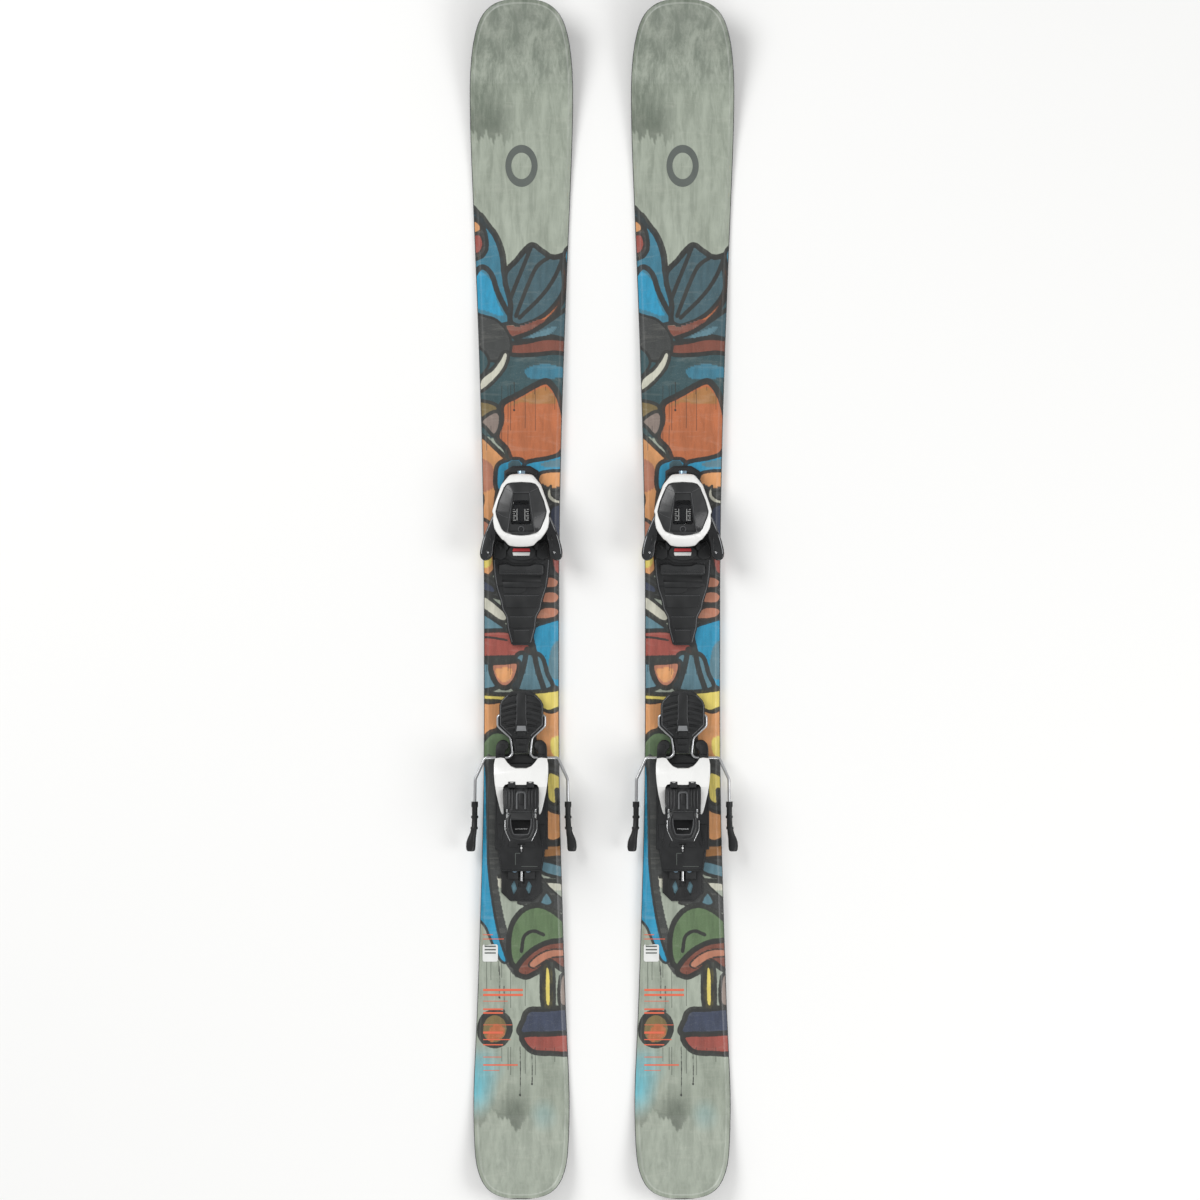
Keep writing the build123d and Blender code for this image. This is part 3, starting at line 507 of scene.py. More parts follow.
def leaves_before_toe_piece(m):
    """Leaves, bands and a broad orange field from the tip to the toe piece."""
    m.shape(
        MUTED_BLUE, 7, [(-62, 420), (-46, 418), (-37, 407), (-28, 395), (-21, 376), (-18, 352),
        (-11, 326), (-6, 304), (-30, 296), (-62, 300)],
    )
    m.shape(BLUE, 0, [(-62, 352), (-44, 356), (-32, 344), (-26, 322), (-20, 308), (-40, 314), (-62, 322)])
    m.shape(CHARCOAL, 4, [(-62, 416), (-47, 412), (-39, 398), (-38, 380), (-46, 371), (-62, 372)])
    m.shape(ORANGE, 2, [(-53, 411), (-46, 408), (-45, 401), (-53, 399)])
    m.shape(RED, 2, [(-53, 394), (-45, 396), (-42, 386), (-46, 377), (-53, 378)])
    m.stroke(6, [(-56, 346), (-44, 361), (-33, 354), (-26, 334), (-16, 314), (-8, 303)])
    m.shape(
        TEAL, 6, [(-18, 352), (-6, 368), (10, 385), (22, 379), (34, 372), (48, 376), (64, 390),
        (64, 318), (40, 300), (-8, 298), (-12, 322)],
    )
    m.shape(MUTED_BLUE, 4, [(47, 378), (66, 388), (66, 344), (52, 352)])
    m.stroke(4.5, [(10, 382), (2, 362), (-7, 340), (-12, 326)])
    m.stroke(4.5, [(30, 372), (17, 362), (8, 344), (0, 324), (-6, 308)])
    m.stroke(4.5, [(46, 374), (36, 350), (22, 330), (-2, 306)])
    m.shape(
        DEEP_TEAL, 0, [(-14, 292), (10, 300), (40, 318), (66, 330), (66, 180), (-50, 180), (-66, 220),
        (-66, 270)],
    )
    m.shape(
        TERRACOTTA, 5, [(45, 362), (46, 338), (36, 320), (20, 306), (-2, 297), (-16, 298), (-10, 286),
        (8, 290), (28, 303), (42, 319), (50, 342)],
    )
    m.shape(BROWN_RED, 0, [(20, 304), (-2, 297), (-16, 298), (-10, 286), (8, 290), (26, 301)])
    m.shape(
        TEAL, 5, [(-6, 284), (12, 291), (32, 304), (52, 318), (66, 326), (66, 282), (30, 286), (6, 281)],
    )
    m.shape(PALE_TEAL, 0, [(8, 285), (22, 292), (38, 297), (32, 289), (18, 284)])
    m.shape(
        BROWN_RED, 5, [(-18, 276), (6, 280), (26, 284), (46, 283), (66, 280), (66, 264), (38, 268),
        (14, 266), (-10, 266)],
    )
    m.shape(MUTED_BLUE, 0, [(4, 250), (26, 256), (46, 252), (60, 256), (60, 246), (34, 240), (10, 240)])
    m.shape(
        CHARCOAL, 3, [(-66, 316), (-44, 309), (-28, 304), (-16, 292), (-11, 278), (-14, 266), (-26, 259),
        (-42, 262), (-66, 274)],
    )
    m.shape(DEEP_TEAL, 3, [(-66, 280), (-50, 276), (-38, 266), (-36, 254), (-48, 240), (-66, 236)])
    m.shape(
        CREAM, 4, [(-19, 269), (-14, 266), (-18, 252), (-29, 238), (-42, 227), (-47, 228), (-44, 240),
        (-32, 250), (-25, 259)],
    )
    m.shape(OLIVE, 4, [(-66, 214), (-44, 216), (-26, 210), (-30, 199), (-46, 196), (-66, 186)])
    m.shape(
        TERRACOTTA, 7, [(-21, 212), (-4, 222), (22, 236), (32, 234), (42, 217), (48, 190), (47, 166),
        (34, 153), (4, 148), (-10, 150), (-17, 164), (-27, 176), (-22, 194)],
    )
    m.shape(OCHRE, 0, [(-14, 210), (0, 219), (22, 230), (30, 228), (38, 214), (20, 212), (0, 214)])
    m.shape(MAUVE, 4, [(-44, 194), (-30, 204), (-23, 200), (-24, 186), (-30, 178), (-38, 186)])
    m.shape(
        ORANGE, 5, [(-66, 190), (-46, 180), (-32, 168), (-12, 146), (-22, 132), (-27, 112), (-29, 86),
        (-32, 62), (-30, 30), (-66, 26)],
    )
    m.shape(SALMON, 0, [(-66, 150), (-40, 152), (-30, 140), (-32, 120), (-66, 116)])
    m.shape(BLUE, 5, [(-28, 138), (-24, 148), (-12, 152), (2, 150), (8, 128), (-6, 112), (-26, 118)])
    m.shape(TEAL, 0, [(-14, 148), (-2, 150), (4, 132), (-10, 128)])
    m.shape(BLUE, 5, [(4, 148), (30, 154), (64, 162), (64, 138), (30, 134), (10, 134)])
    m.shape(PALE_TEAL, 0, [(20, 147), (44, 153), (56, 150), (36, 143)])


def fields_beside_toe_piece(m):
    """Small fields and bars on both sides of the toe piece."""
    m.shape(ORANGE, 4, [(22, 138), (64, 138), (64, 122), (34, 119), (20, 122)])
    m.shape(CHARCOAL, 0, [(14, 120), (34, 121), (64, 122), (64, 30), (14, 30)])
    m.shape(NAVY, 4, [(32, 100), (64, 102), (64, 70), (36, 66)])
    m.shape(
        CREAM, 2, [(32, 124), (28, 117), (29, 110), (35, 105), (45, 104), (46, 107), (38, 109),
        (33, 113), (32, 118)],
    )
    m.shape(CHARCOAL, 4, [(-66, 120), (-46, 118), (-42, 106), (-48, 96), (-66, 94)])
    m.shape(SALMON, 4, [(-66, 84), (-44, 88), (-30, 78), (-28, 66), (-46, 62), (-66, 66)])
    m.shape(YELLOW, 0, [(-66, 58), (-40, 56), (-32, 42), (-40, 34), (-66, 36)])
    m.shape(CHARCOAL, 4, [(-66, 30), (-40, 27), (-24, 16), (-20, 2), (-34, 4), (-66, 14)])
    m.shape(NAVY, 3, [(-66, 24), (-44, 22), (-30, 14), (-30, 7), (-46, 11), (-66, 16)])
    m.shape(CREAM, 4, [(-66, 10), (-42, 5), (-28, -4), (-14, -18), (-22, -24), (-44, -10), (-66, -4)])
    m.shape(PALE_TEAL, 5, [(-66, -8), (-44, -13), (-26, -24), (-16, -32), (-30, -36), (-66, -30)])
    m.shape(
        RED, 5, [(-66, -34), (-40, -34), (-16, -34), (0, -42), (10, -50), (6, -60), (-20, -63),
        (-66, -60)],
    )
    m.stroke(2.6, [(-60, -41), (-36, -41), (-16, -44)])
    m.shape(CHARCOAL, 0, [(14, 40), (66, 40), (66, -26), (12, -22)])
    m.shape(RED, 3, [(33, 50), (44, 50), (44, 30), (36, 30)])
    m.shape(SALMON, 3.5, [(24, 24), (34, 25), (41, 20), (38, 13), (28, 12), (20, 14)])
    m.shape(SALMON, 3.5, [(24, 8), (36, 9), (42, 3), (37, -4), (24, -4), (16, 0)])
    m.shape(SALMON, 3.5, [(22, -9), (36, -8), (42, -13), (36, -20), (22, -22), (12, -20)])
    m.shape(
        BLUE, 4, [(12, -32), (26, -25), (44, -20), (66, -16), (66, -94), (34, -94), (22, -78), (14, -52)],
    )
    m.shape(PALE_TEAL, 0, [(34, -50), (50, -46), (50, -84), (30, -82)])


def fields_between_bindings(m):
    """Half discs and yellow bands between toe piece and heel piece."""
    m.shape(PALE_TEAL, 5, [(-66, -66), (-40, -68), (-30, -70), (-26, -88), (-30, -97), (-66, -97)])
    m.shape(PALE_TEAL, 5, [(-6, -62), (10, -58), (22, -62), (28, -80), (32, -97), (-8, -97)])
    m.shape(SALMON, 6, [(-33, -70), (-18, -68), (-3, -68), (-5, -84), (-14, -95), (-24, -94), (-31, -84)])
    m.shape(ORANGE, 0, [(-28, -76), (-18, -74), (-10, -76), (-12, -86), (-20, -90), (-26, -84)])
    m.stroke(6, [(6, -54), (2, -74), (-5, -96)])
    m.stroke(6, [(13, -52), (17, -74), (24, -96)])
    m.shape(
        YELLOW, 5, [(-66, -100), (-40, -102), (-16, -103), (6, -101), (34, -98), (66, -93), (66, -110),
        (42, -118), (24, -122), (-14, -112), (-66, -108)],
    )
    m.shape(ORANGE, 4, [(-66, -110), (-36, -112), (-18, -112), (-22, -132), (-36, -152), (-66, -168)])
    m.shape(ORANGE, 4, [(18, -122), (34, -122), (66, -112), (66, -186), (34, -180), (16, -168)])
    m.shape(YELLOW, 0, [(34, -150), (66, -150), (66, -172), (36, -170)])
    m.shape(
        GREEN, 6, [(-50, -170), (-42, -153), (-30, -143), (-14, -146), (-8, -160), (-16, -172),
        (-34, -176)],
    )


def fields_beside_heel_piece(m):
    """Dark ground with small fields beside the heel piece, and the pale ground behind it."""
    m.shape(CHARCOAL, 0, [(-66, -174), (-30, -176), (66, -182), (66, -290), (20, -296), (-66, -300)])
    m.shape(YELLOW, 4, [(28, -190), (36, -188), (46, -196), (46, -212), (38, -206), (38, -222), (28, -216)])
    m.shape(ORANGE, 4, [(24, -228), (34, -230), (48, -236), (48, -252), (38, -262), (26, -258)])
    m.shape(OCHRE, 4, [(22, -268), (40, -266), (50, -262), (50, -278), (36, -280), (22, -280)])
    m.shape(
        CREAM, 5, [(-66, -300), (-30, -300), (10, -304), (40, -306), (66, -314), (66, -700),
        (-66, -700)], smooth=False,
    )
    m.shape(CONCRETE, 0, [(-66, -310), (66, -318), (66, -700), (-66, -700)], smooth=False)


def forms_behind_heel_piece(m):
    """A long blue blade, a green dome on a stem, a disc and a two-coloured block."""
    m.shape(
        PALE_TEAL, 4, [(20, -284), (36, -286), (52, -292), (66, -300), (66, -309), (40, -302),
        (22, -296)],
    )
    m.shape(
        CHARCOAL, 2, [(18, -298), (30, -312), (46, -326), (66, -338), (66, -350), (40, -338), (20, -332),
        (-4, -330), (6, -322), (14, -314)],
    )
    m.shape(PALE_TEAL, 3, [(20, -330), (27, -318), (34, -329), (27, -333)])
    m.shape(PALE_TEAL, 0, [(-13, -303), (13, -303), (13, -324), (-13, -324)])
    m.shape(CREAM, 0, [(-40, -180), (-31, -182), (-29, -240), (-28, -300), (-34, -300), (-38, -240)])
    m.shape(
        CHARCOAL, 0, [(-39, -176), (-30, -178), (-28, -240), (-27, -292), (-20, -340), (-4, -402),
        (-8, -408), (-22, -384), (-36, -330), (-40, -260)],
    )
    m.shape(
        BLUE, 3, [(-47, -178), (-39, -180), (-37, -230), (-36, -286), (-31, -330), (-24, -366),
        (-16, -392), (-24, -390), (-38, -358), (-50, -330), (-50, -220)],
    )
    m.shape(
        GREEN, 6, [(-10, -396), (-14, -374), (-10, -352), (2, -337), (18, -332), (34, -338), (48, -350),
        (60, -364), (60, -380), (34, -376), (14, -384), (2, -398)],
    )
    m.stroke(4, [(0, -382), (3, -366), (13, -360), (24, -364)])
    m.shape(
        BROWN_RED, 6, [(-6, -403), (4, -388), (18, -377), (36, -371), (66, -372), (66, -396), (46, -402),
        (32, -394), (18, -404), (4, -410)],
    )
    m.shape(
        SALMON, 2, [(8, -396), (18, -386), (34, -380), (58, -382), (58, -388), (38, -388), (26, -392),
        (14, -400)],
    )
    m.shape(YELLOW, 7, [(24, -400), (28, -396), (33, -402), (34, -424), (33, -442), (25, -442), (23, -424)])
    m.shape(MAUVE, 4, [(42, -412), (48, -406), (58, -410), (58, -438), (42, -440)])
    m.shape(
        OLIVE, 7, [(-45, -466), (-40, -453), (-28, -448), (-16, -455), (-13, -468), (-20, -481),
        (-31, -484), (-42, -478)],
    )
    m.shape(TERRACOTTA, 0, [(-38, -474), (-30, -462), (-20, -464), (-18, -472), (-26, -478), (-34, -480)])
    m.shape(NAVY, 6, [(2, -456), (8, -446), (24, -445), (66, -445), (66, -472), (2, -473)])
    m.shape(RED, 6, [(1, -474), (30, -472), (66, -472), (66, -492), (30, -493), (10, -490)])


def bare_tail(m):
    """Blue sprays and a torn stain, darkest at its lower edge on the left."""
    x, y = m.where.T
    m.spray(CYAN, (-44, -508), (22, 22), 0.55)
    m.spray(CYAN, (-50, -528), (20, 30), 0.95)
    m.spray(CYAN, (24, -560), (14, 16), 0.22)
    tear = -566 + 8 * np.sin(x * 0.13 + 5.4) + 4 * np.sin(x * 0.33) + 1.6 * np.sin(x * 1.3)
    slope = -530 + 0.75 * (x + 20)
    above = np.clip((y - tear) / 1.8, 0, 1)
    stained = above * np.clip((slope - y) / 34, 0, 1) * np.clip((12 - x) / 16, 0, 1)
    m.paint = m.paint * (1 - 0.9 * stained[:, None]) + np.array(STAIN) * 0.9 * stained[:, None]
    below = np.clip((tear - y) / 1.8, 0, 1)[:, None] * np.clip((16 - x) / 16, 0, 1)[:, None]
    m.paint = m.paint * (1 - below) + np.array(CONCRETE) * below


def drips(m):
    """Fine runs under some of the forms, and five separate drips that end in drops."""
    for x0, x1, top, length in (
        (-22, 40, 232, 54), (-44, -14, 188, 34), (-40, 30, -60, 24),
        (-44, -20, -392, 40), (-14, 10, -404, 44), (-24, 44, -486, 34),
    ):
        m.run(x0, x1, top, length)
    for x0, top, length in (
        (-1.6, -486, 52), (11.4, -493, 33), (-24.0, -398, 34), (-19.0, -420, 26), (-8.0, 236, 30),
    ):
        m.stroke(1.1, [(x0, top), (x0 + 0.4, top - length / 2), (x0, top - length)])
        m.stroke(2.2, [(x0 - 0.2, top - length), (x0 + 0.2, top - length - 0.6)])


def paint_mural(where):
    """An abstract mural of leaves, bands and half discs between two bare ends."""
    mural = Mural(where)
    for layer in (
        bare_tip, leaves_before_toe_piece, fields_beside_toe_piece, fields_between_bindings,
        fields_beside_heel_piece, forms_behind_heel_piece, bare_tail, drips,
    ):
        layer(mural)
    return mural


def ski_rows():
    """Where the topsheet's rows lie along the ski: closer together round the ends."""
    close = [0.02, 0.15, 0.4, 0.8, 1.3, 2.0, 2.8, 3.7, 4.7, 5.8]
    tip = [HALF_LENGTH - c for c in close]
    middle = np.linspace(HALF_LENGTH - 7.0, 7.0 - HALF_LENGTH, 860)
    return np.array([*tip, *middle, *[-y for y in reversed(tip)]])


def measure_ski(rows):
    """Half width, crown height and underside height of the CAD ski at each row."""
    edges = BVHTree.FromPolygons(*polygons("left_steel_edges"))
    cap = BVHTree.FromPolygons(*polygons("left_cap_topsheet"))
    crown_end = HALF_LENGTH - 8.0              # beyond it the crown follows the base's rise
    widths, crown, low = [], [], []
    for y in rows:
        within = max(-crown_end, min(crown_end, y))
        top = cap.ray_cast(Vector((0.4, within, 200.0)), Vector((0, 0, -1)))[0].z
        wall = edges.ray_cast(Vector((80.0, y, base_of(y) + 1.0)), Vector((-1, 0, 0)))[0]
        widths.append(wall.x if wall else 1.0)
        crown.append(top + base_of(y) - base_of(within))
        low.append(base_of(y))
    return np.array(widths), np.array(crown), np.array(low)


def topsheet_grid(rows, widths):
    """Rows of points across the ski, close together over the shoulder, and how many in a row."""
    insets = np.array([0.0, 0.5, 1.6, 2.9, 4.2, 4.7, 5.6])
    across = 78
    grid = []
    for y, width in zip(rows, widths):
        reach = max(width - EDGE_REVEAL, 0.3)
        right = reach - np.minimum(insets, reach * 0.12 * np.arange(len(insets)))
        inner = np.linspace(-right[-1], right[-1], across + 1)[1:-1]
        xs = np.concatenate([-right, inner, right[::-1]])
        grid.append(np.column_stack([xs, np.full(len(xs), y)]))
    where = np.vstack(grid)
    # The end rows are pulled in, so the steel edge also shows round the tip and the tail.
    where[:, 1] = np.clip(where[:, 1], EDGE_REVEAL - HALF_LENGTH, HALF_LENGTH - EDGE_REVEAL)
    return where, len(grid[0])


def inset_from_edge(where, rows, widths, columns, ends):
    """Each point's distance from the cap's edge, up to the width of the shoulder."""
    outline = np.column_stack([widths, rows])
    outline = np.vstack([outline, (outline * (-1, 1))[::-1]])
    outline = np.vstack([outline, outline[0]])
    inset = np.repeat(widths - EDGE_REVEAL, columns) - np.abs(where[:, 0])
    inset[ends] = line_distance(where[ends], outline) - EDGE_REVEAL
    return np.clip(inset, 0, SHOULDER_IN)


def topsheet():
    """The cap: side walls, sloping shoulder and crown, with the mural painted on its points."""
    rows = ski_rows()
    widths, crown, low = measure_ski(rows)
    where, columns = topsheet_grid(rows, widths)
    ends = np.abs(where[:, 1]) > 560
    inset = inset_from_edge(where, rows, widths, columns, ends)
    # rim: how strong the painted highlight is along the shoulder's top, full round the ends and about a
    # third as strong along the sides.
    rim = np.clip(1.2 - np.abs(inset - RIM_INSET) / 0.9, 0, 1) * np.where(ends, 1.0, 0.35)
    height = np.repeat(crown, columns) - SHOULDER_DOWN * (1 - inset / SHOULDER_IN)
    # A skirt ring down to the steel edge closes the side walls.
    left = [r * columns for r in range(len(rows))]
    right = [r * columns + columns - 1 for r in range(len(rows))]
    loop = left + list(range(left[-1] + 1, right[-1])) + right[::-1] + list(range(columns - 2, 0, -1))
    skirt = [(where[i][0], where[i][1], low[i // columns] + 1.9) for i in loop]
    faces = [
        (r * columns + c, (r + 1) * columns + c, (r + 1) * columns + c + 1, r * columns + c + 1)
        for r in range(len(rows) - 1) for c in range(columns - 1)
    ]
    first = len(where)
    for k, i in enumerate(loop):
        after = (k + 1) % len(loop)
        faces.append((i, loop[after], first + after, first + k))
    vertices = [(*p, z) for p, z in zip(where, height)] + skirt
    mesh = mesh_of("topsheet", vertices, faces, topsheet_material(), 50.0)
    mural = paint_mural(np.vstack([where, [s[:2] for s in skirt]]))
    colours = np.column_stack([mural.paint, np.ones(len(vertices))])
    mesh.attributes.new("paint", "FLOAT_COLOR", "POINT").data.foreach_set("color", colours.ravel())
    rim = np.append(rim, np.zeros(len(skirt)))
    levels = {"ink": mural.ink, "wash": mural.wash, "drip": mural.drip, "rim": rim}
    for name, values in levels.items():
        mesh.attributes.new(name, "FLOAT", "POINT").data.foreach_set("value", values)
    return mesh


def polygons(node):
    """A left-ski CAD node's vertices in its ski's millimetres, and its faces."""
    mesh = NODES[node].data
    points = [Vector((v.co.x / MM - SKI_X["left"], v.co.y / MM, v.co.z / MM)) for v in mesh.vertices]
    return points, [tuple(p.vertices) for p in mesh.polygons]


def base_of(y):
    """Height of the steel edge's underside at a station."""
    contact, rise = (TIP_CONTACT, TIP_RISE) if y > 0 else (TAIL_CONTACT, TAIL_RISE)
    run = HALF_LENGTH - contact
    radius = (run**2 + rise**2) / (2 * rise)
    past = abs(y) - contact
    return radius - math.sqrt(radius**2 - past**2) if past > 0 else 0.0


# ---- Building shapes -----------------------------------------------------------------------
class Shape:
    """Collects closed forms in one mesh."""

    def __init__(self):
        self.points = []
        self.faces = []

    def add(self, points, faces, both=False):
        """Adds points and faces, and their mirror image across the centre line if asked."""
        first = len(self.points)
        self.points += [tuple(p) for p in points]
        self.faces += [tuple(first + i for i in face) for face in faces]
        if both:
            self.add([(-x, y, z) for x, y, z in points], [face[::-1] for face in faces])
        return self

    def rings(self, rings, caps=(True, True), both=False):
        """A skin over rings of the same number of points, each anticlockwise from above."""
        count = len(rings[0])
        points = [p for ring in rings for p in ring]
        faces = [
            (
                r * count + i, r * count + (i + 1) % count, (r + 1) * count + (i + 1) % count,
                (r + 1) * count + i,
            )
            for r in range(len(rings) - 1) for i in range(count)
        ]
        if caps[0]:
            faces.append(tuple(range(count))[::-1])
        if caps[1]:
            faces.append(tuple((len(rings) - 1) * count + i for i in range(count)))
        return self.add(points, faces, both)

    def plate(self, outline, low, high, radius=0.4, both=False, round_corners=0.0):
        """An upright form with rounded upper edges; `high` is a height or a function of X, Y."""
        line = anticlockwise(outline)
        if round_corners:
            line = rounded(line, round_corners)
        top = high if callable(high) else (lambda x, y: high)
        levels = [(0.0, None), (0.0, 1.0), (0.13, 0.5), (0.5, 0.13), (1.0, 0.0)]
        rings = []
        for inset, drop in levels:
            ring = inward(line, inset * radius)
            rings.append([(x, y, low if drop is None else top(x, y) - drop * radius) for x, y in ring])
        return self.rings(rings, both=both)

    def rod(self, path, radius, sides=12, both=False):
        """A round bar along a path; `radius` is one number or one for each point."""
        path = np.array(path, float)
        radii = np.broadcast_to(radius, len(path))
        ahead = np.gradient(path, axis=0)
        rings = []
        side = None
        for centre, direction, r in zip(path, ahead, radii):
            direction = direction / np.linalg.norm(direction)
            if side is None:
                side = np.cross(direction, (0.0, 0.0, 1.0) if abs(direction[2]) < 0.9 else (1.0, 0.0, 0.0))
            side = side - direction * (side @ direction)
            side /= np.linalg.norm(side)
            up = np.cross(direction, side)
            turns = np.linspace(0, 2 * math.pi, sides, endpoint=False)
            rings.append([tuple(centre + r * (math.cos(t) * side - math.sin(t) * up)) for t in turns])
        return self.rings(rings, both=both)

    def bead(self, line, high, radius, both=True):
        """A round bar along a line in plan; `high` is a height above the ski or a function of Y."""
        top = high if callable(high) else (lambda y: high)
        return self.rod([(x, y, h(top(y))) for x, y in line], radius, both=both)

    def mesh(self, name, material, sharp=35.0):
        return mesh_of(name, self.points, self.faces, material, sharp)


def anticlockwise(line):
    """An outline in anticlockwise order."""
    line = np.array(line, float)
    x, y = line.T
    turned = (x * np.roll(y, -1) - np.roll(x, -1) * y).sum()
    return line if turned > 0 else line[::-1]


def inward(line, distance):
    """A closed anticlockwise outline moved inwards by mitred corners."""
    if not distance:
        return line
    before, after = line - np.roll(line, 1, 0), np.roll(line, -1, 0) - line
    normals = []
    for edge in (before, after):
        edge = edge / np.maximum(np.linalg.norm(edge, axis=1), 1e-9)[:, None]
        normals.append(np.column_stack([-edge[:, 1], edge[:, 0]]))
    joined = normals[0] + normals[1]
    scale = np.maximum((joined**2).sum(1) / 2, 0.35)
    return line + joined / scale[:, None] * distance


def corner_arc(before, corner, after, radius):
    """Points along a rounded corner, from one side to the other."""
    a, b = before - corner, after - corner
    la, lb = np.linalg.norm(a), np.linalg.norm(b)
    reach = min(radius, 0.45 * la, 0.45 * lb)
    start, end = corner + a / la * reach, corner + b / lb * reach
    return [(1 - t) ** 2 * start + 2 * t * (1 - t) * corner + t**2 * end for t in np.linspace(0, 1, 5)]


def rounded(line, radius):
    """A closed outline with its corners rounded."""
    ring = []
    for before, corner, after in zip(np.roll(line, 1, 0), line, np.roll(line, -1, 0)):
        ring += corner_arc(before, corner, after, radius)
    return np.array(ring)


def rounded_path(points, radius):
    """An open path with its corners rounded."""
    points = np.array(points, float)
    path = [points[0]]
    for before, corner, after in zip(points, points[1:], points[2:]):
        path += corner_arc(before, corner, after, radius)
    return np.array([*path, points[-1]])


def mirrored(points):
    """A whole outline from its right-hand half."""
    return [*points, *[(-x, y) for x, y in reversed(points) if x > 0]]


def around(line, centre, count=144):
    """Where rays from a centre, evenly turned, cross a closed outline."""
    line = np.vstack([line, line[0]]) - centre
    ring = []
    for turn in np.linspace(0, 2 * math.pi, count, endpoint=False):
        ray = np.array((math.cos(turn), math.sin(turn)))
        best = 0.0
        for a, b in zip(line, line[1:]):
            edge = b - a
            bend = ray[0] * edge[1] - ray[1] * edge[0]
            if abs(bend) < 1e-9:
                continue
            reach = (a[0] * edge[1] - a[1] * edge[0]) / bend
            share = (a[0] * ray[1] - a[1] * ray[0]) / bend
            if -1e-9 <= share <= 1 + 1e-9 and reach > best:
                best = reach
        ring.append(np.array(centre) + ray * best)
    return np.array(ring)


def lift(ring, heights):
    """Ring points with heights, one for all or one for each."""
    return [(x, y, z) for (x, y), z in zip(ring, np.broadcast_to(heights, len(ring)))]


def h(height):
    """A height above the ski's top."""
    return SKI_TOP + height


# ---- Toe piece -----------------------------------------------------------------------------
# Right-hand halves of symmetrical outlines, from the front to the back.
HOUSING = [
    (0.0, 136.2), (10.6, 135.4), (13.2, 134.2), (21.4, 124.2), (28.2, 105.0), (30.9, 96.6),
    (31.2, 94.4), (29.8, 92.6), (30.4, 85.0), (29.0, 77.0), (26.4, 72.2), (20.6, 64.8),
    (18.6, 64.2), (13.2, 58.4), (7.0, 57.2), (0.0, 57.0),
]
COVER = [
    (0.0, 126.9), (10.5, 126.3), (15.6, 125.0), (18.4, 121.4), (24.6, 106.8), (27.6, 95.2),
    (26.6, 90.0), (21.0, 76.4), (18.2, 73.4), (9.0, 70.3), (0.0, 69.4),
]
COVER_RECESS = [(8.6, 115.5), (14.4, 73.4)]
WINDOW_OPENING = [(7.6, 107.2), (8.2, 106.2), (11.0, 82.4), (10.2, 81.4)]
SCREW_PLACE = (0.0, 76.0)


def toe_housing():
    """The white shell: a rounded rim round the cover, sloping down to the boot at the back."""
    centre = (0.0, 94.0)
    outer = around(rounded(np.array(mirrored(HOUSING)), 1.1), centre)
    inner = around(rounded(np.array(mirrored(COVER)), 0.8), centre)
    y = outer[:, 1]
    low = np.where(y > 99.0, h(10.0), h(35.0))

    def top(ring):
        slope = h(36.2) + (ring[:, 1] - 57.0) * 0.76
        return np.minimum(h(46.0), slope)

    shell = Shape()
    rings = [lift(outer, low), lift(outer, np.minimum(h(34.0), top(outer) - 2.6).clip(low + 0.1))]
    for share, drop in (
        (0.0, 2.6), (0.06, 1.3), (0.18, 0.5), (0.42, 0.0), (0.80, 0.0), (0.94, 0.4), (1.0, 1.3),
    ):
        ring = outer + (inner - outer) * share
        # The crown falls away towards the outer edge, more so at the front.
        fall = (1 - share) ** 2 * np.clip((ring[:, 1] - 96) / 40, 0, 1) * 5.0
        rings.append(lift(ring, top(ring) - drop - fall))
    rings.append(lift(inner, h(43.2)))
    shell.rings(rings, caps=(False, False))
    return shell.mesh("toe_shell", WHITE, 24.0)


def toe_shell_details():
    """Steps at the rim's widest points and on its rear corners."""
    trim = Shape()
    trim.plate([(28.6, 97.4), (31.1, 96.2), (30.2, 92.4), (28.6, 91.6)], h(36), h(43.2), 0.4, both=True)
    trim.plate([(17.4, 66.0), (19.8, 66.4), (23.6, 70.8), (21.6, 71.8)], h(36), h(42.6), 0.4, both=True)
    return trim.mesh("toe_shell_steps", WHITE)


def toe_cover():
    """The faceted lid with its tapering recess; the window's opening is left free."""
    centre = (0.0, 94.0)
    rim = around(rounded(np.array(mirrored(COVER)), 0.8) * (0.985, 0.997), centre)
    recess = around(rounded(np.array(mirrored(COVER_RECESS)), 0.8), centre)
    opening = around(np.array(mirrored(WINDOW_OPENING)), centre)
    levels = (
        (rim, recess, 0.0, 43.8), (rim, recess, 0.0, 45.8), (
            rim, recess, 0.06, 46.5,
        ), (rim, recess, 0.40, 48.4),
        (rim, recess, 0.90, 50.2), (rim, recess, 1.0, 50.2), (recess, opening, 0.14, 48.3),
        (recess, opening, 0.86, 48.2), (recess, opening, 1.0, 47.9), (recess, opening, 1.0, 46.6),
    )
    rings = [lift(start + (end - start) * share, h(z)) for start, end, share, z in levels]
    return Shape().rings(rings, caps=(False, False)).mesh("toe_lid", SATIN_BLACK, 10.0)


def cover_edges():
    """Pale beads along the lid's recess and its rear lip: a painted highlight on its edges."""
    edges = Shape()
    side = [(8.9, 115.2), (11.6, 95.0), (14.5, 74.0)]
    edges.bead(side, 50.15, 0.32)
    edges.bead([(x, 115.9) for x in np.linspace(-8.6, 8.6, 5)], 50.15, 0.28, both=False)
    corner = [(19.2, 121.0), (13.8, 118.4), (9.4, 116.2)]
    edges.rod([(x, y, h(z)) for (x, y), z in zip(corner, (46.5, 48.5, 50.1))], 0.22, both=True)
    corner = [(27.0, 94.6), (20.4, 90.6), (13.2, 88.0)]
    edges.rod([(x, y, h(z)) for (x, y), z in zip(corner, (46.4, 48.5, 50.1))], 0.16, both=True)
    return edges.mesh("toe_lid_edges", HIGHLIGHT_BLACK)


def disc(centre, radius, count=32):
    """A round outline."""
    turns = np.linspace(0, 2 * math.pi, count, endpoint=False)
    return [(centre[0] + radius * math.cos(t), centre[1] + radius * math.sin(t)) for t in turns]


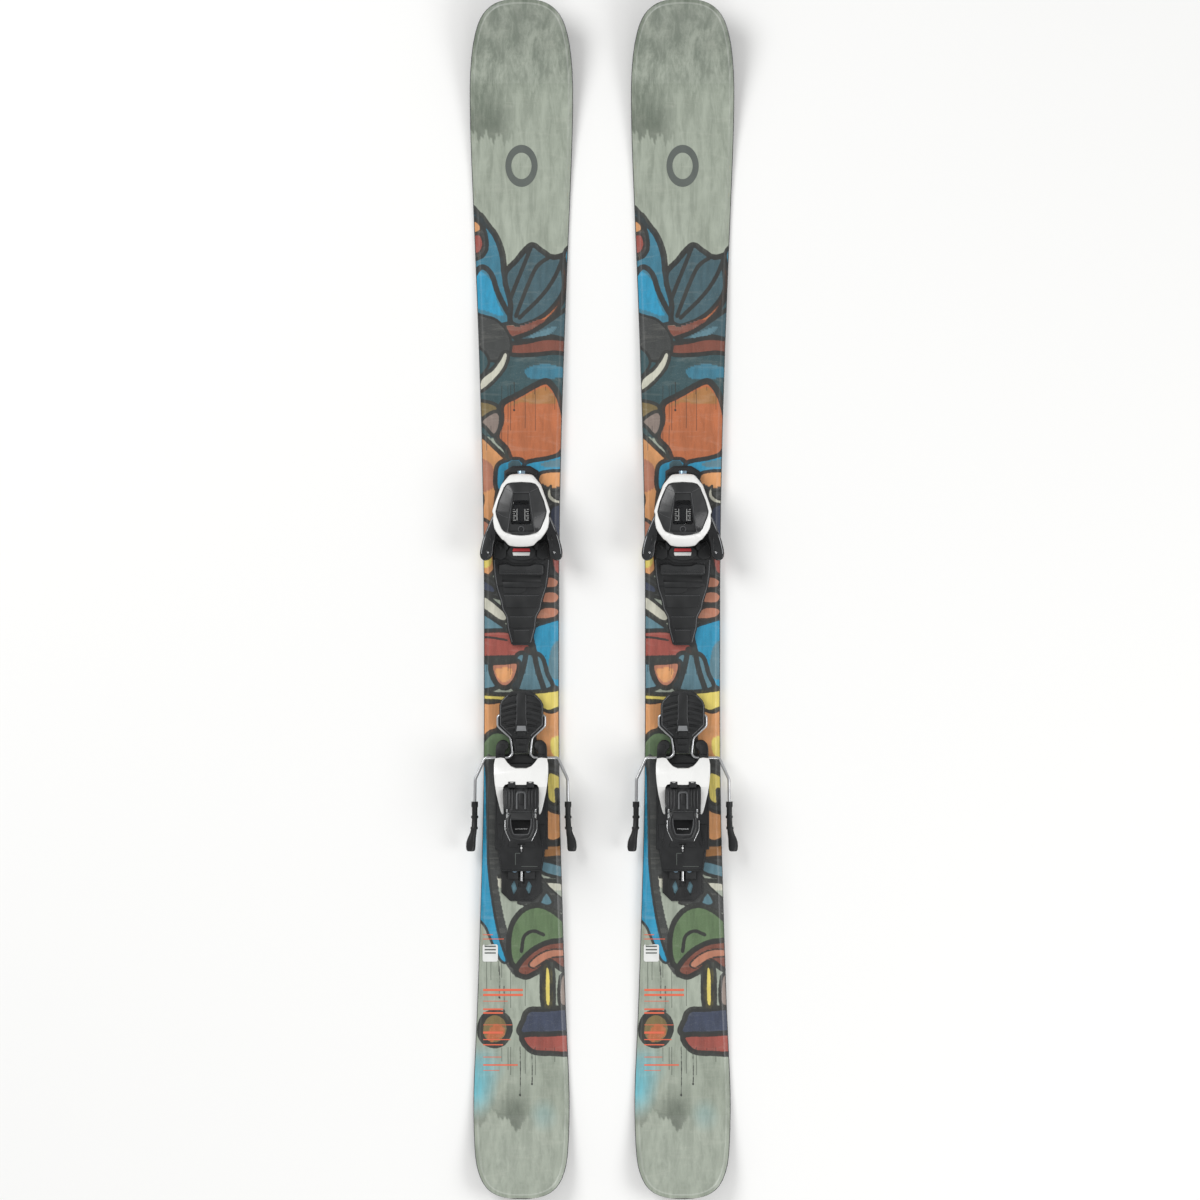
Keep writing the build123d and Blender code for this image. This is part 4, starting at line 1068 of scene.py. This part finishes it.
def cover_screw():
    """The collar round the small screw behind the window."""
    collar = Shape()
    profile = [(3.6, 48.0), (3.5, 49.3), (3.0, 49.7), (2.5, 49.3), (2.3, 48.0)]
    collar.rings([lift(np.array(disc(SCREW_PLACE, r)), h(z)) for r, z in profile], caps=(True, False))
    # The collar's paler black is a painted highlight on its rim.
    return collar.mesh("toe_lid_collar", HIGHLIGHT_BLACK)


def cover_screw_head():
    """The screw's sunken head with a cross recess."""
    head = Shape().plate(disc(SCREW_PLACE, 2.1), h(47.6), h(48.6), 0.3)
    head.plate([(-1.3, 75.75), (1.3, 75.75), (1.3, 76.25), (-1.3, 76.25)], h(48.3), h(48.75), 0.05)
    head.plate([(-0.25, 74.7), (0.25, 74.7), (0.25, 77.3), (-0.25, 77.3)], h(48.3), h(48.75), 0.05)
    return head.mesh("toe_lid_screw", GLOSS_BLACK)


def scale_marks():
    """Two columns of plain strokes on the release scale, as on any dial."""
    marks = Shape()

    def stroke(x0, x1, y0, y1):
        marks.plate([(x0, y0), (x1, y0), (x1, y1), (x0, y1)], h(45.0), h(45.2), 0.05)

    for k in range(6):
        y = 85.4 + 2.3 * k
        reach = 3.4 if k % 2 == 0 else 2.0
        stroke(-9.0, -9.0 + reach, y, y + 0.95)
        stroke(8.4 - reach, 8.4, y, y + 0.95)
    stroke(-4.9, -4.1, 85.4, 98.0)
    stroke(3.7, 4.5, 85.4, 98.0)
    return marks.mesh("scale_marks", MARK_WHITE)


# The right-hand wing's outline and the place of its rivet.
WING = [
    (17.0, 93.0), (26.0, 94.6), (31.0, 91.5), (36.5, 79.0), (41.5, 66.0), (44.2, 55.0),
    (44.9, 49.5), (44.0, 44.8), (40.5, 42.0), (35.5, 42.6), (32.0, 46.0), (30.4, 52.0),
    (30.0, 60.0), (27.0, 69.0), (23.5, 78.0), (16.6, 84.0),
]
RIVET_PLACE = (35.9, 50.9)


def wing_top(y):
    """Height of a wing's upper face: a step up from the web to the raised end."""
    return h(29.6) + 4.6 / (1 + math.exp((y - 69.0) / 1.6))


def handed(shape, side, name, material):
    """A right-hand piece as it is, or its mirror image for the left."""
    if side == "right":
        return shape.mesh(name, material)
    points = [(-x, y, z) for x, y, z in shape.points]
    return mesh_of(name, points, [face[::-1] for face in shape.faces], material, 35.0)


def toe_wing(side):
    """A wing with a sunken web, an inner rail and a boss round its rivet."""
    wing = Shape()
    wing.plate(rounded(anticlockwise(WING), 3.2), h(16.0), lambda x, y: wing_top(y), 1.3)
    inner = smooth_line(
        [(31.0, 74.0), (33.4, 66.0), (33.2, 58.0), (33.4, 50.0), (36.2, 45.2)], closed=False,
    )
    wing.rod([(x, y, wing_top(y) - 0.05) for x, y in inner], 0.5)
    wing.plate(disc(RIVET_PLACE, 2.3), h(30), h(34.7), 0.4)
    return handed(wing, side, f"wing_{side}", GLOSS_BLACK)


def wing_rail_highlight(side):
    """A pale grey rail along a wing's outer edge and a thinner one along its web: a painted highlight for
    the light line on the glossy black wing.
    """
    rail = Shape()
    outer = smooth_line(
        [(30.6, 89.0), (34.9, 79.0), (39.6, 66.4), (42.4, 55.0), (43.0, 49.6)], closed=False,
    )
    rail.rod([(x, y, wing_top(y) + 0.05) for x, y in outer], np.linspace(0.62, 0.3, len(outer)))
    web = smooth_line([(27.6, 90.0), (29.6, 82.0), (31.6, 74.8)], closed=False)
    rail.rod([(x, y, wing_top(y) - 0.1) for x, y in web], 0.3)
    return handed(rail, side, f"wing_rail_{side}", RAIL_HIGHLIGHT_GREY)


def wing_rivet(side):
    """The bright rivet at a wing's end."""
    head = Shape().plate(disc(RIVET_PLACE, 1.15), h(34.2), h(34.98), 0.4)
    return handed(head, side, f"wing_rivet_{side}", BRIGHT)


def toe_plate_details():
    """Rims, steps and panels moulded on the toe piece's plate."""
    trim = Shape()
    # Stepped tongue: a centre panel at its end and shallow steps above it.
    trim.plate(mirrored([(8.6, -33.4), (7.6, -46.6)]), h(5.6), h(7.0), 0.4, round_corners=0.8)
    trim.plate(mirrored([(12.6, -19.0), (11.4, -30.6)]), h(6.6), h(7.9), 0.4, round_corners=0.8)
    trim.plate(mirrored([(19.0, 4.0), (17.0, -8.6)]), h(7.8), h(8.9), 0.4, round_corners=1.2)
    panel = [(-20.4, 14.6), (-19.4, 6.6), (-2.0, 6.6), (4.4, 9.0), (5.4, 13.4), (3.4, 14.6)]
    trim.plate(panel, h(7.8), h(9.4), 0.4, round_corners=1.0)
    # Cheeks behind the wings and the collar in front of the sliding plate.
    cheek = [(16.4, 60.0), (25.6, 64.0), (29.0, 57.0), (29.4, 46.0), (22.0, 43.0), (16.6, 46.0)]
    trim.plate(cheek, h(9.6), h(12.6), 0.8, both=True, round_corners=2.0)
    horn = [(13.8, 57.4), (17.4, 62.4), (19.2, 61.4), (18.4, 55.0), (15.6, 53.4)]
    trim.plate(horn, h(10.0), h(15.6), 0.5, both=True, round_corners=0.9)
    wedge = [(20.8, 56.6), (24.2, 60.2), (25.6, 58.8), (22.8, 53.8)]
    trim.plate(wedge, h(12.0), h(14.8), 0.4, both=True, round_corners=0.8)
    collar = mirrored([(26.4, 43.6), (26.4, 40.4), (14.0, 40.4), (9.0, 36.6)])
    trim.plate(collar, h(9.6), h(10.25), 0.3)
    contour = [(0.0, 37.9), (10.0, 38.4), (12.6, 40.6), (17.0, 42.0), (26.0, 42.0)]
    contour = [(-x, y) for x, y in reversed(contour[1:])] + contour
    contour = smooth_line(contour, closed=False)
    trim.bead(contour + (0.0, 1.4), 10.4, 0.5, both=False)
    # The octagonal nose.
    trim.plate(mirrored([(8.6, 143.4), (16.8, 138.6), (17.0, 134.2), (9.0, 137.4)]), h(9.6), h(11.2), 0.6)
    return trim.mesh("toe_plate_trim", BLACK)


def toe_plate_rims():
    """Rims that follow the tongue's edge, and the lips of its steps."""
    trim = Shape()
    edge = [
        (29.4, 43.0), (28.2, 26.5), (25.8, 12.2), (21.2, -1.8),
        (20.0, -9.8), (15.2, -18.4), (14.2, -30.4), (10.0, -46.4),
    ]
    rim = rounded_path(edge, 3.0)
    heights = np.interp(
        rim[:, 1], [-50, -31, -29, -9, -7, 14, 16, 60], [6.2, 6.2, 7.2, 7.2, 8.2, 8.2, 10.0, 10.0],
    )
    trim.rod([(x, y, h(z)) for (x, y), z in zip(rim, heights)], 0.62, both=True)
    for half, y, z in ((8.4, -33.2, 6.9), (12.4, -18.8, 7.8), (19.0, 4.2, 8.8)):
        trim.bead([(x, y) for x in np.linspace(-half, half, 6)], z, 0.3, both=False)
    trim.bead([(-24.0, 39.6), (-15.6, 39.6)], 10.2, 0.3)
    # The paler black of these rims and lips is a painted highlight.
    return trim.mesh("toe_plate_rims", HIGHLIGHT_BLACK)


def badge_bars():
    """Two plain bars on the badge."""
    def bar(name, material, rear, front):
        """A bar between two edges, each a half width and a place along the ski."""
        outline = mirrored([rear, front])
        return Shape().plate(outline, h(13.1), h(13.45), 0.12, round_corners=0.5).mesh(name, material)

    return (
        bar("badge_bar_red", MARK_RED, (9.6, 52.2), (8.8, 55.4)),
        bar("badge_bar_white", MARK_WHITE, (8.8, 47.6), (9.6, 51.2)),
    )


def afd_pad():
    """The sliding plate's crowned top with rounded ends."""
    pad = Shape()
    outline = mirrored([(9.6, 36.4), (15.0, 38.8), (24.0, 38.0), (24.0, 27.0)])
    outline = rounded(anticlockwise(outline), 2.0)
    pad.plate(outline, h(10.8), lambda x, y: h(15.0) - 0.016 * (y - 34.5) ** 2 - 0.0007 * x**2, 0.9)
    for y in (29.4, 31.6):
        pad.bead([(-21.0, y), (21.0, y)], 14.55, 0.28, both=False)
    return pad.mesh("afd_pad", SATIN_BLACK)


# ---- Heel piece ----------------------------------------------------------------------------
def pedal_details():
    """Ribs, spine and neck panels of the brake's pedal."""
    trim = Shape()
    for k in range(7):
        y = -110.6 - 4.3 * k
        reach = 21.6 - 1.5 * max(0, k - 4)
        arc = [(x, y - 0.010 * (x - 5.6) ** 2) for x in np.linspace(6.2, reach, 10)]
        trim.bead(arc, 15.1, [0.5] + [0.9] * 8 + [0.4])
    spine = [(4.6, -101.6), (4.6, -128.0), (6.9, -144.6)]
    trim.plate(mirrored(spine), h(14.8), h(16.6), 0.5, round_corners=0.8)
    trim.plate(
        mirrored([(11.0, -100.4), (14.6, -103.6), (12.6, -105.4), (9.8, -103.6)]), h(14.6), h(16.2), 0.5,
    )
    trim.plate(mirrored([(6.6, -135.4), (7.2, -144.2)]), h(16.0), h(17.0), 0.4, round_corners=0.6)
    for half, front, rear in ((6.0, -150.6, -157.0), (5.0, -158.4, -165.0)):
        trim.plate(mirrored([(half, front), (half - 0.3, rear)]), h(12.0), h(13.6), 0.5, round_corners=0.8)
    return trim.mesh("pedal_trim", BLACK)


def pedal_rims():
    """The pedal's raised rim and the edges of its spine."""
    trim = Shape()
    edge = [
        (0.0, -100.6), (10.4, -100.8), (15.4, -104.8), (20.8, -110.2), (22.5, -115.0), (
            22.5, -136.0,
        ), (10.4, -147.6),
    ]
    trim.bead(rounded_path(edge, 0.9), 15.2, 0.62)
    trim.bead([(4.8, -103.6), (4.8, -128.0), (7.0, -144.6)], 16.6, 0.36)
    # The paler black of the rim and the spine's edges is a painted highlight.
    return trim.mesh("pedal_rims", HIGHLIGHT_BLACK)


def pedal_pad():
    """The small grey pad at the rear of the pedal's spine."""
    pad = Shape().plate(mirrored([(4.6, -136.8), (5.5, -142.6)]), h(16.6), h(17.35), 0.3, round_corners=0.4)
    return pad.mesh("pedal_pad", PALE_GREY)


def brake_knuckles():
    """Rounded humps over the brake's axle, left and right of the pedal's neck."""
    knuckle = Shape()
    hump = [
        (14.0, -161.0), (13.8, -155.4), (17.0, -152.4), (22.6, -152.2), (27.0, -156.6), (28.0, -163.0),
        (28.0, -177.6), (17.8, -177.6), (17.8, -164.0),
    ]
    hump = rounded(anticlockwise(hump), 2.6)
    knuckle.plate(hump, h(4.0), lambda x, y: h(13.6) - 0.02 * (y + 166.0) ** 2, 1.4, both=True)
    step = rounded(
        anticlockwise([(18.6, -157.0), (23.8, -156.4), (26.0, -160.0), (26.0, -168.0), (18.8, -168.0)]),
        1.2,
    )
    knuckle.plate(step, h(10.0), lambda x, y: h(14.1) - 0.02 * (y + 166.0) ** 2, 0.4, both=True)
    knuckle.plate(mirrored([(27.6, -177.8), (27.6, -168.0)]), h(0.8), h(4.9), 0.6)
    return knuckle.mesh("brake_knuckles", BLACK)


def shell_details():
    """Fine moulded lines on the white hood."""
    trim = Shape()
    trim.rod([(8.4, -197.6, h(65.6)), (13.6, -197.6, h(65.4))], 0.35, both=True)
    side = [(27.9, -180.0, h(62.4)), (27.4, -190.0, h(65.4)), (26.8, -199.0, h(65.0))]
    trim.rod(side, 0.4, both=True)
    return trim.mesh("hood_lines", WHITE)


def hood_lugs():
    """Two black lugs that show in the hood's rear cut-out."""
    lugs = Shape()
    lug = [(6.0, -196.6), (13.8, -196.6), (14.2, -203.0), (6.0, -203.0)]
    lugs.plate(lug, h(58.0), h(65.8), 0.5, both=True, round_corners=0.6)
    lugs.plate(mirrored([(6.2, -199.6), (6.2, -204.0)]), h(56.0), h(63.2), 0.5)
    return lugs.mesh("lever_lugs", BLACK)


def lever_top(y):
    """Height of the lever's upper line above the ski."""
    return float(np.interp(-y, [200.8, 206.0, 222.0, 240.0, 261.5], [60.0, 64.0, 68.0, 72.5, 77.0]))


def lever_details():
    """Upright ribs, a centre channel and the thick rim of the loop."""
    trim = Shape()
    for x, front, rear in ((8.8, -203.4, -225.4), (12.0, -203.4, -225.4), (15.6, -204.6, -225.0)):
        path = [(x, y) for y in np.linspace(front, rear, 8)]
        trim.bead(path, lambda y: lever_top(y) + 0.35, [0.4, 0.8, 0.9, 0.9, 0.9, 0.9, 0.8, 0.5])
    bar = [(x, -228.6) for x in np.linspace(-11.6, 11.6, 6)]
    trim.bead(bar, lambda y: lever_top(y) + 0.3, 0.9, both=False)
    loop = rounded_path([(12.2, -231.6), (14.2, -238.0), (14.0, -247.6), (9.4, -257.6), (0.0, -258.4)], 3.0)
    trim.bead(loop, lambda y: lever_top(y) + 0.2, 1.15)
    return trim.mesh("lever_ribs", SATIN_BLACK)


def lever_channel():
    """The arched block at the lever's middle and the inner lip of its loop."""
    trim = Shape()
    arch = rounded_path([(4.6, -226.4), (4.6, -210.4), (3.6, -208.2), (0.0, -208.0)], 1.2)
    trim.bead(arch, lambda y: lever_top(y) + 0.5, 1.25)
    lip = rounded_path([(11.2, -236.4), (10.8, -244.6), (8.2, -253.4), (0.0, -253.8)], 2.0)
    trim.bead(lip, lambda y: lever_top(y) - 0.1, 0.5)
    # The paler black of the arch and the lip is a painted highlight.
    return trim.mesh("lever_channel", HIGHLIGHT_BLACK)


def lever_trim():
    """Bright wire along the lower edge of the lever's loop."""
    wire = Shape()
    path = rounded_path([(17.0, -238.2), (17.1, -248.6), (11.4, -260.6)], 3.0)
    wire.bead(path, lambda y: lever_top(y) - 4.6, 0.55)
    wire.bead([(-6.4, -247.6), (6.4, -247.6)], 58.0, 0.45, both=False)
    return wire.mesh("lever_wire", BRIGHT)


def lever_cup():
    """The dark floor under the loop's opening."""
    cup = Shape()
    cup.plate(mirrored([(11.6, -236.6), (11.0, -245.0), (8.4, -254.4)]), h(52.0), h(56.0), 0.5)
    return cup.mesh("lever_cup", BLACK)


def carriage_details():
    """Moulded lines, steps and ribs on the heel piece's base."""
    trim = Shape()
    for x0, y0, x1, y1 in (
        (27.2, -180.0, 27.2, -269.6), (24.0, -272.6, 21.2, -293.0), (20.2, -240.0, 22.8, -268.0),
        (17.6, -262.0, 21.0, -268.8), (13.4, -262.0, 9.0, -268.0),
    ):
        trim.bead([(x0, y0), (x1, y1)], 9.0, 0.5)
    trim.plate(
        mirrored([(12.4, -262.6), (14.8, -268.4), (4.2, -268.4), (3.6, -264.8)]), h(8.6), h(9.9), 0.4,
    )
    trim.bead([(-20.6, -293.6), (20.6, -293.6)], 8.9, 0.6, both=False)
    step = [(18.6, -244.0), (26.0, -244.0), (26.0, -258.0), (21.4, -262.0)]
    trim.plate(step, h(8.6), h(9.8), 0.4, both=True, round_corners=0.8)
    return trim.mesh("carriage_trim", BLACK)


def carriage_marks():
    """Fine lines of the sole-length setting."""
    marks = Shape()
    for x0, x1, y0, y1 in (
        (-6.8, -6.2, -288.0, -275.0), (-6.8, -1.2, -275.6, -275.0), (0.0, 17.6, -289.8, -289.3),
    ):
        marks.plate([(x0, y0), (x1, y0), (x1, y1), (x0, y1)], h(8.9), h(9.12), 0.05)
    return marks.mesh("carriage_marks", MARK_GREY)


def sight_pin():
    """The white pin that shows through the sight hole."""
    return Shape().plate(disc((0.0, -269.6), 1.15), h(6.0), h(9.4), 0.4).mesh("sight_pin", MARK_WHITE)


def track_details():
    """Ribs beside the windows of the heel track."""
    trim = Shape()
    rim = rounded_path([(20.8, -300.0), (20.8, -317.4), (11.8, -326.2), (0.0, -326.4)], 1.0)
    trim.bead(rim, 1.65, 0.6)
    for x0, y0, x1, y1 in (
        (15.8, -299.0, 15.8, -318.0), (1.8, -308.0, 3.4, -324.0), (13.2, -312.0, 10.0, -323.6),
    ):
        trim.bead([(x0, y0), (x1, y1)], 1.7, 0.5)
    return trim.mesh("track_trim", BLACK)


# Centre line and half width of a brake arm's end, from its collar to the spoon.
TIP_CORE = [
    (50.6, -219.2, 3.6), (50.6, -224.8, 3.7), (50.6, -225.6, 3.0), (50.6, -234.2, 3.0), (50.6, -234.8, 3.9),
    (50.6, -237.0, 3.9), (50.7, -237.6, 3.0), (51.0, -246.2, 3.1), (51.1, -246.8, 4.0), (51.3, -249.0, 4.0),
    (51.6, -249.6, 3.3), (52.4, -254.0, 3.7), (53.8, -258.6, 4.5), (54.6, -263.0, 5.1), (54.9, -268.0, 5.2),
    (54.9, -271.2, 4.8), (54.9, -272.8, 4.0), (54.9, -273.3, 2.4),
]


def brake_tips():
    """Moulded ends of the brake's arms: ringed sleeves that widen into spoons."""
    tips = Shape()
    for mirror in (1, -1):
        rings = []
        for x, y, half in TIP_CORE:
            turns = np.linspace(0, 2 * math.pi, 20, endpoint=False)
            thick = min(half, 3.5)
            ring = [
                (mirror * (x + half * math.cos(t)), y, h(9.0 + thick * math.sin(t)))
                for t in turns
            ]
            rings.append(ring if mirror == -1 else ring[::-1])
        tips.rings(rings[::-1])
    spoon = [(52.4, -258.6), (54.6, -258.0), (57.6, -262.6), (57.8, -269.0), (53.4, -270.6), (51.6, -266.0)]
    tips.plate(spoon, h(9.0), h(12.7), 0.5, both=True, round_corners=1.6)
    return tips.mesh("brake_ends", BLACK)


# ---- Plain graphics on the topsheet --------------------------------------------------------
class Prints:
    """Flat prints that follow the topsheet's curved surface."""

    def __init__(self, surface):
        self.surface = surface

    def height(self, x, y):
        return self.surface.ray_cast(Vector((x, y, 300.0)), Vector((0, 0, -1)))[0].z + 0.12

    def bar(self, shape, x0, x1, y, tall, corner=0.0):
        """A bar or a rounded label, in strips narrow enough to bend over the shoulder."""
        strips = max(2, round((x1 - x0) / 0.7))
        points = []
        for x in np.linspace(x0, x1, strips + 1):
            past = max(0.0, corner - (x - x0), corner - (x1 - x))
            half = tall / 2 - corner + math.sqrt(max(corner**2 - past**2, 0.0))
            z = self.height(x, y)
            points += [(x, y - half, z), (x, y + half, z)]
        shape.add(points, [(2 * k, 2 * k + 2, 2 * k + 3, 2 * k + 1) for k in range(strips)])

    def ring(self, shape, centre, inner, outer, stretch, count=64):
        """A ring drawn out along the ski."""
        turns = [k * math.tau / count for k in range(count)]
        points = []
        for t in turns:
            for radius in (inner, outer):
                x, y = centre[0] + radius * math.cos(t), centre[1] + stretch * radius * math.sin(t)
                points.append((x, y, self.height(x, y)))
        n = len(points)
        shape.add(points, [(2 * k, 2 * k + 1, (2 * k + 3) % n, (2 * k + 2) % n) for k in range(count)])


# The plain bars that stand for printed lines: right end, place along the ski, and height.
TEXT_LINES = [
    (1.5, -424.0, 2.4), (1.5, -429.4, 2.4), (-15.0, -436.2, 0.7), (
        -20.0, -445.0, 1.8,
    ), (-20.0, -449.0, 1.8),
    (-10.0, -462.0, 0.7), (-20.0, -470.4, 2.4), (-12.0, -478.0, 1.0), (
        -20.0, -483.6, 1.2,
    ), (-22.0, -497.0, 0.8),
    (-4.0, -505.6, 1.6), (-24.0, -511.5, 0.6), (-31.0, -364.0, 0.8), (-19.0, -368.6, 0.8),
]


def graphics(prints):
    """Plain bars for the printed lines, a plain label and a ring for the badges."""
    coral, label, ring = Shape(), Shape(), Shape()
    for end, y, tall in TEXT_LINES:
        prints.bar(coral, -41.6, end, y, tall)
    prints.bar(label, -42.2, -25.6, -383.8, 18.8, 2.0)
    prints.ring(ring, (0.0, 471.0), 11.0, 17.5, 1.3)
    return (
        coral.mesh("plain_bars", MARK_CORAL), label.mesh("plain_label", MARK_WHITE),
        ring.mesh("plain_ring", MARK_GREY), label_lines(prints),
    )


def label_lines(prints):
    """Five plain lines across the label, a touch above it."""
    lines = Shape()
    for k in range(5):
        prints.bar(lines, -40.0, -27.8, -391.0 + 3.6 * k, 1.5)
    lines.points = [(x, y, z + 0.05) for x, y, z in lines.points]
    return lines.mesh("label_lines", MARK_GREY)


# ---- The scene -----------------------------------------------------------------------------
VIEW_WIDTH = 1.303            # metres across the view at the height of the skis' tops
LENS, SENSOR = 300.0, 36.0
LAMPS = {                     # place and size in metres, and power in watts
    "key": ((-1.9, 1.5, 2.6), 1.8, 58.0),
    "fill": ((2.1, -0.6, 2.2), 1.6, 27.0),
    "back": ((0.4, -2.6, 1.8), 1.4, 18.0),
}


def build_floor_and_sky():
    """Pale floor and an even, dim sky."""
    bpy.ops.mesh.primitive_plane_add(size=60.0)
    floor = bpy.context.object
    floor.name = "floor"
    s = Surface("floor")
    floor.data.materials.append(s.finish((0.88, 0.88, 0.87), 0.9))
    world = bpy.data.worlds.new("studio")
    bpy.context.scene.world = world
    world.use_nodes = True
    world.node_tree.nodes["Background"].inputs["Color"].default_value = (1.0, 1.0, 1.0, 1.0)
    world.node_tree.nodes["Background"].inputs["Strength"].default_value = 0.52


def build_lamps():
    """Large round lamps above the skis, all turned to the middle."""
    for name, (spot, size, power) in LAMPS.items():
        lamp = bpy.data.lights.new(name, "AREA")
        lamp.shape = "DISK"
        lamp.size = size
        lamp.energy = power
        light = bpy.data.objects.new(name, lamp)
        light.location = spot
        light.rotation_mode = "QUATERNION"
        light.rotation_quaternion = Vector(spot).to_track_quat("Z", "Y")
        bpy.context.scene.collection.objects.link(light)


def build_camera():
    """A long lens straight over the skis."""
    camera = bpy.data.cameras.new("camera")
    camera.lens = LENS
    camera.sensor_width = SENSOR
    camera.clip_end = 100.0
    eye = bpy.data.objects.new("camera", camera)
    eye.location = (-0.0022, -0.0005, SKI_TOP * MM + VIEW_WIDTH * LENS / SENSOR)
    bpy.context.scene.collection.objects.link(eye)
    bpy.context.scene.camera = eye
    bpy.context.scene.view_settings.view_transform = "Standard"


dress_nodes()
place(topsheet(), "ski", "cap_topsheet")
place(toe_housing(), "ski", "toe_housing")
place(toe_shell_details(), "ski")
place(toe_cover(), "ski", "toe_cover")
for mesh in (cover_screw(), cover_screw_head(), cover_edges()):
    place(mesh, "ski")
place(scale_marks(), "toe_scale")
place(toe_plate_details(), "ski")
place(toe_plate_rims(), "ski")
place(afd_pad(), "afd", "afd_slider")
for mesh in badge_bars():
    place(mesh, "ski")
for hand, body in (("left", "toe_wing_l"), ("right", "toe_wing_r")):
    place(toe_wing(hand), body, f"toe_wing_{hand}")
    place(wing_rail_highlight(hand), body)
    place(wing_rivet(hand), body)
place(pedal_details(), "brake")
place(pedal_rims(), "brake")
place(pedal_pad(), "brake")
place(brake_tips(), "brake", "brake_tips")
place(brake_knuckles(), "heel_base", "brake_base")
place(shell_details(), "heel_jaw")
for mesh in (hood_lugs(), lever_details(), lever_channel(), lever_cup()):
    place(mesh, "heel_release")
place(lever_trim(), "heel_release")
place(carriage_details(), "heel_base")
place(carriage_marks(), "heel_base")
place(sight_pin(), "heel_base")
place(track_details(), "ski")
for mesh in graphics(Prints(BVHTree.FromPolygons(*polygons("left_cap_topsheet")))):
    place(mesh, "ski")
build_floor_and_sky()
build_lamps()
build_camera()
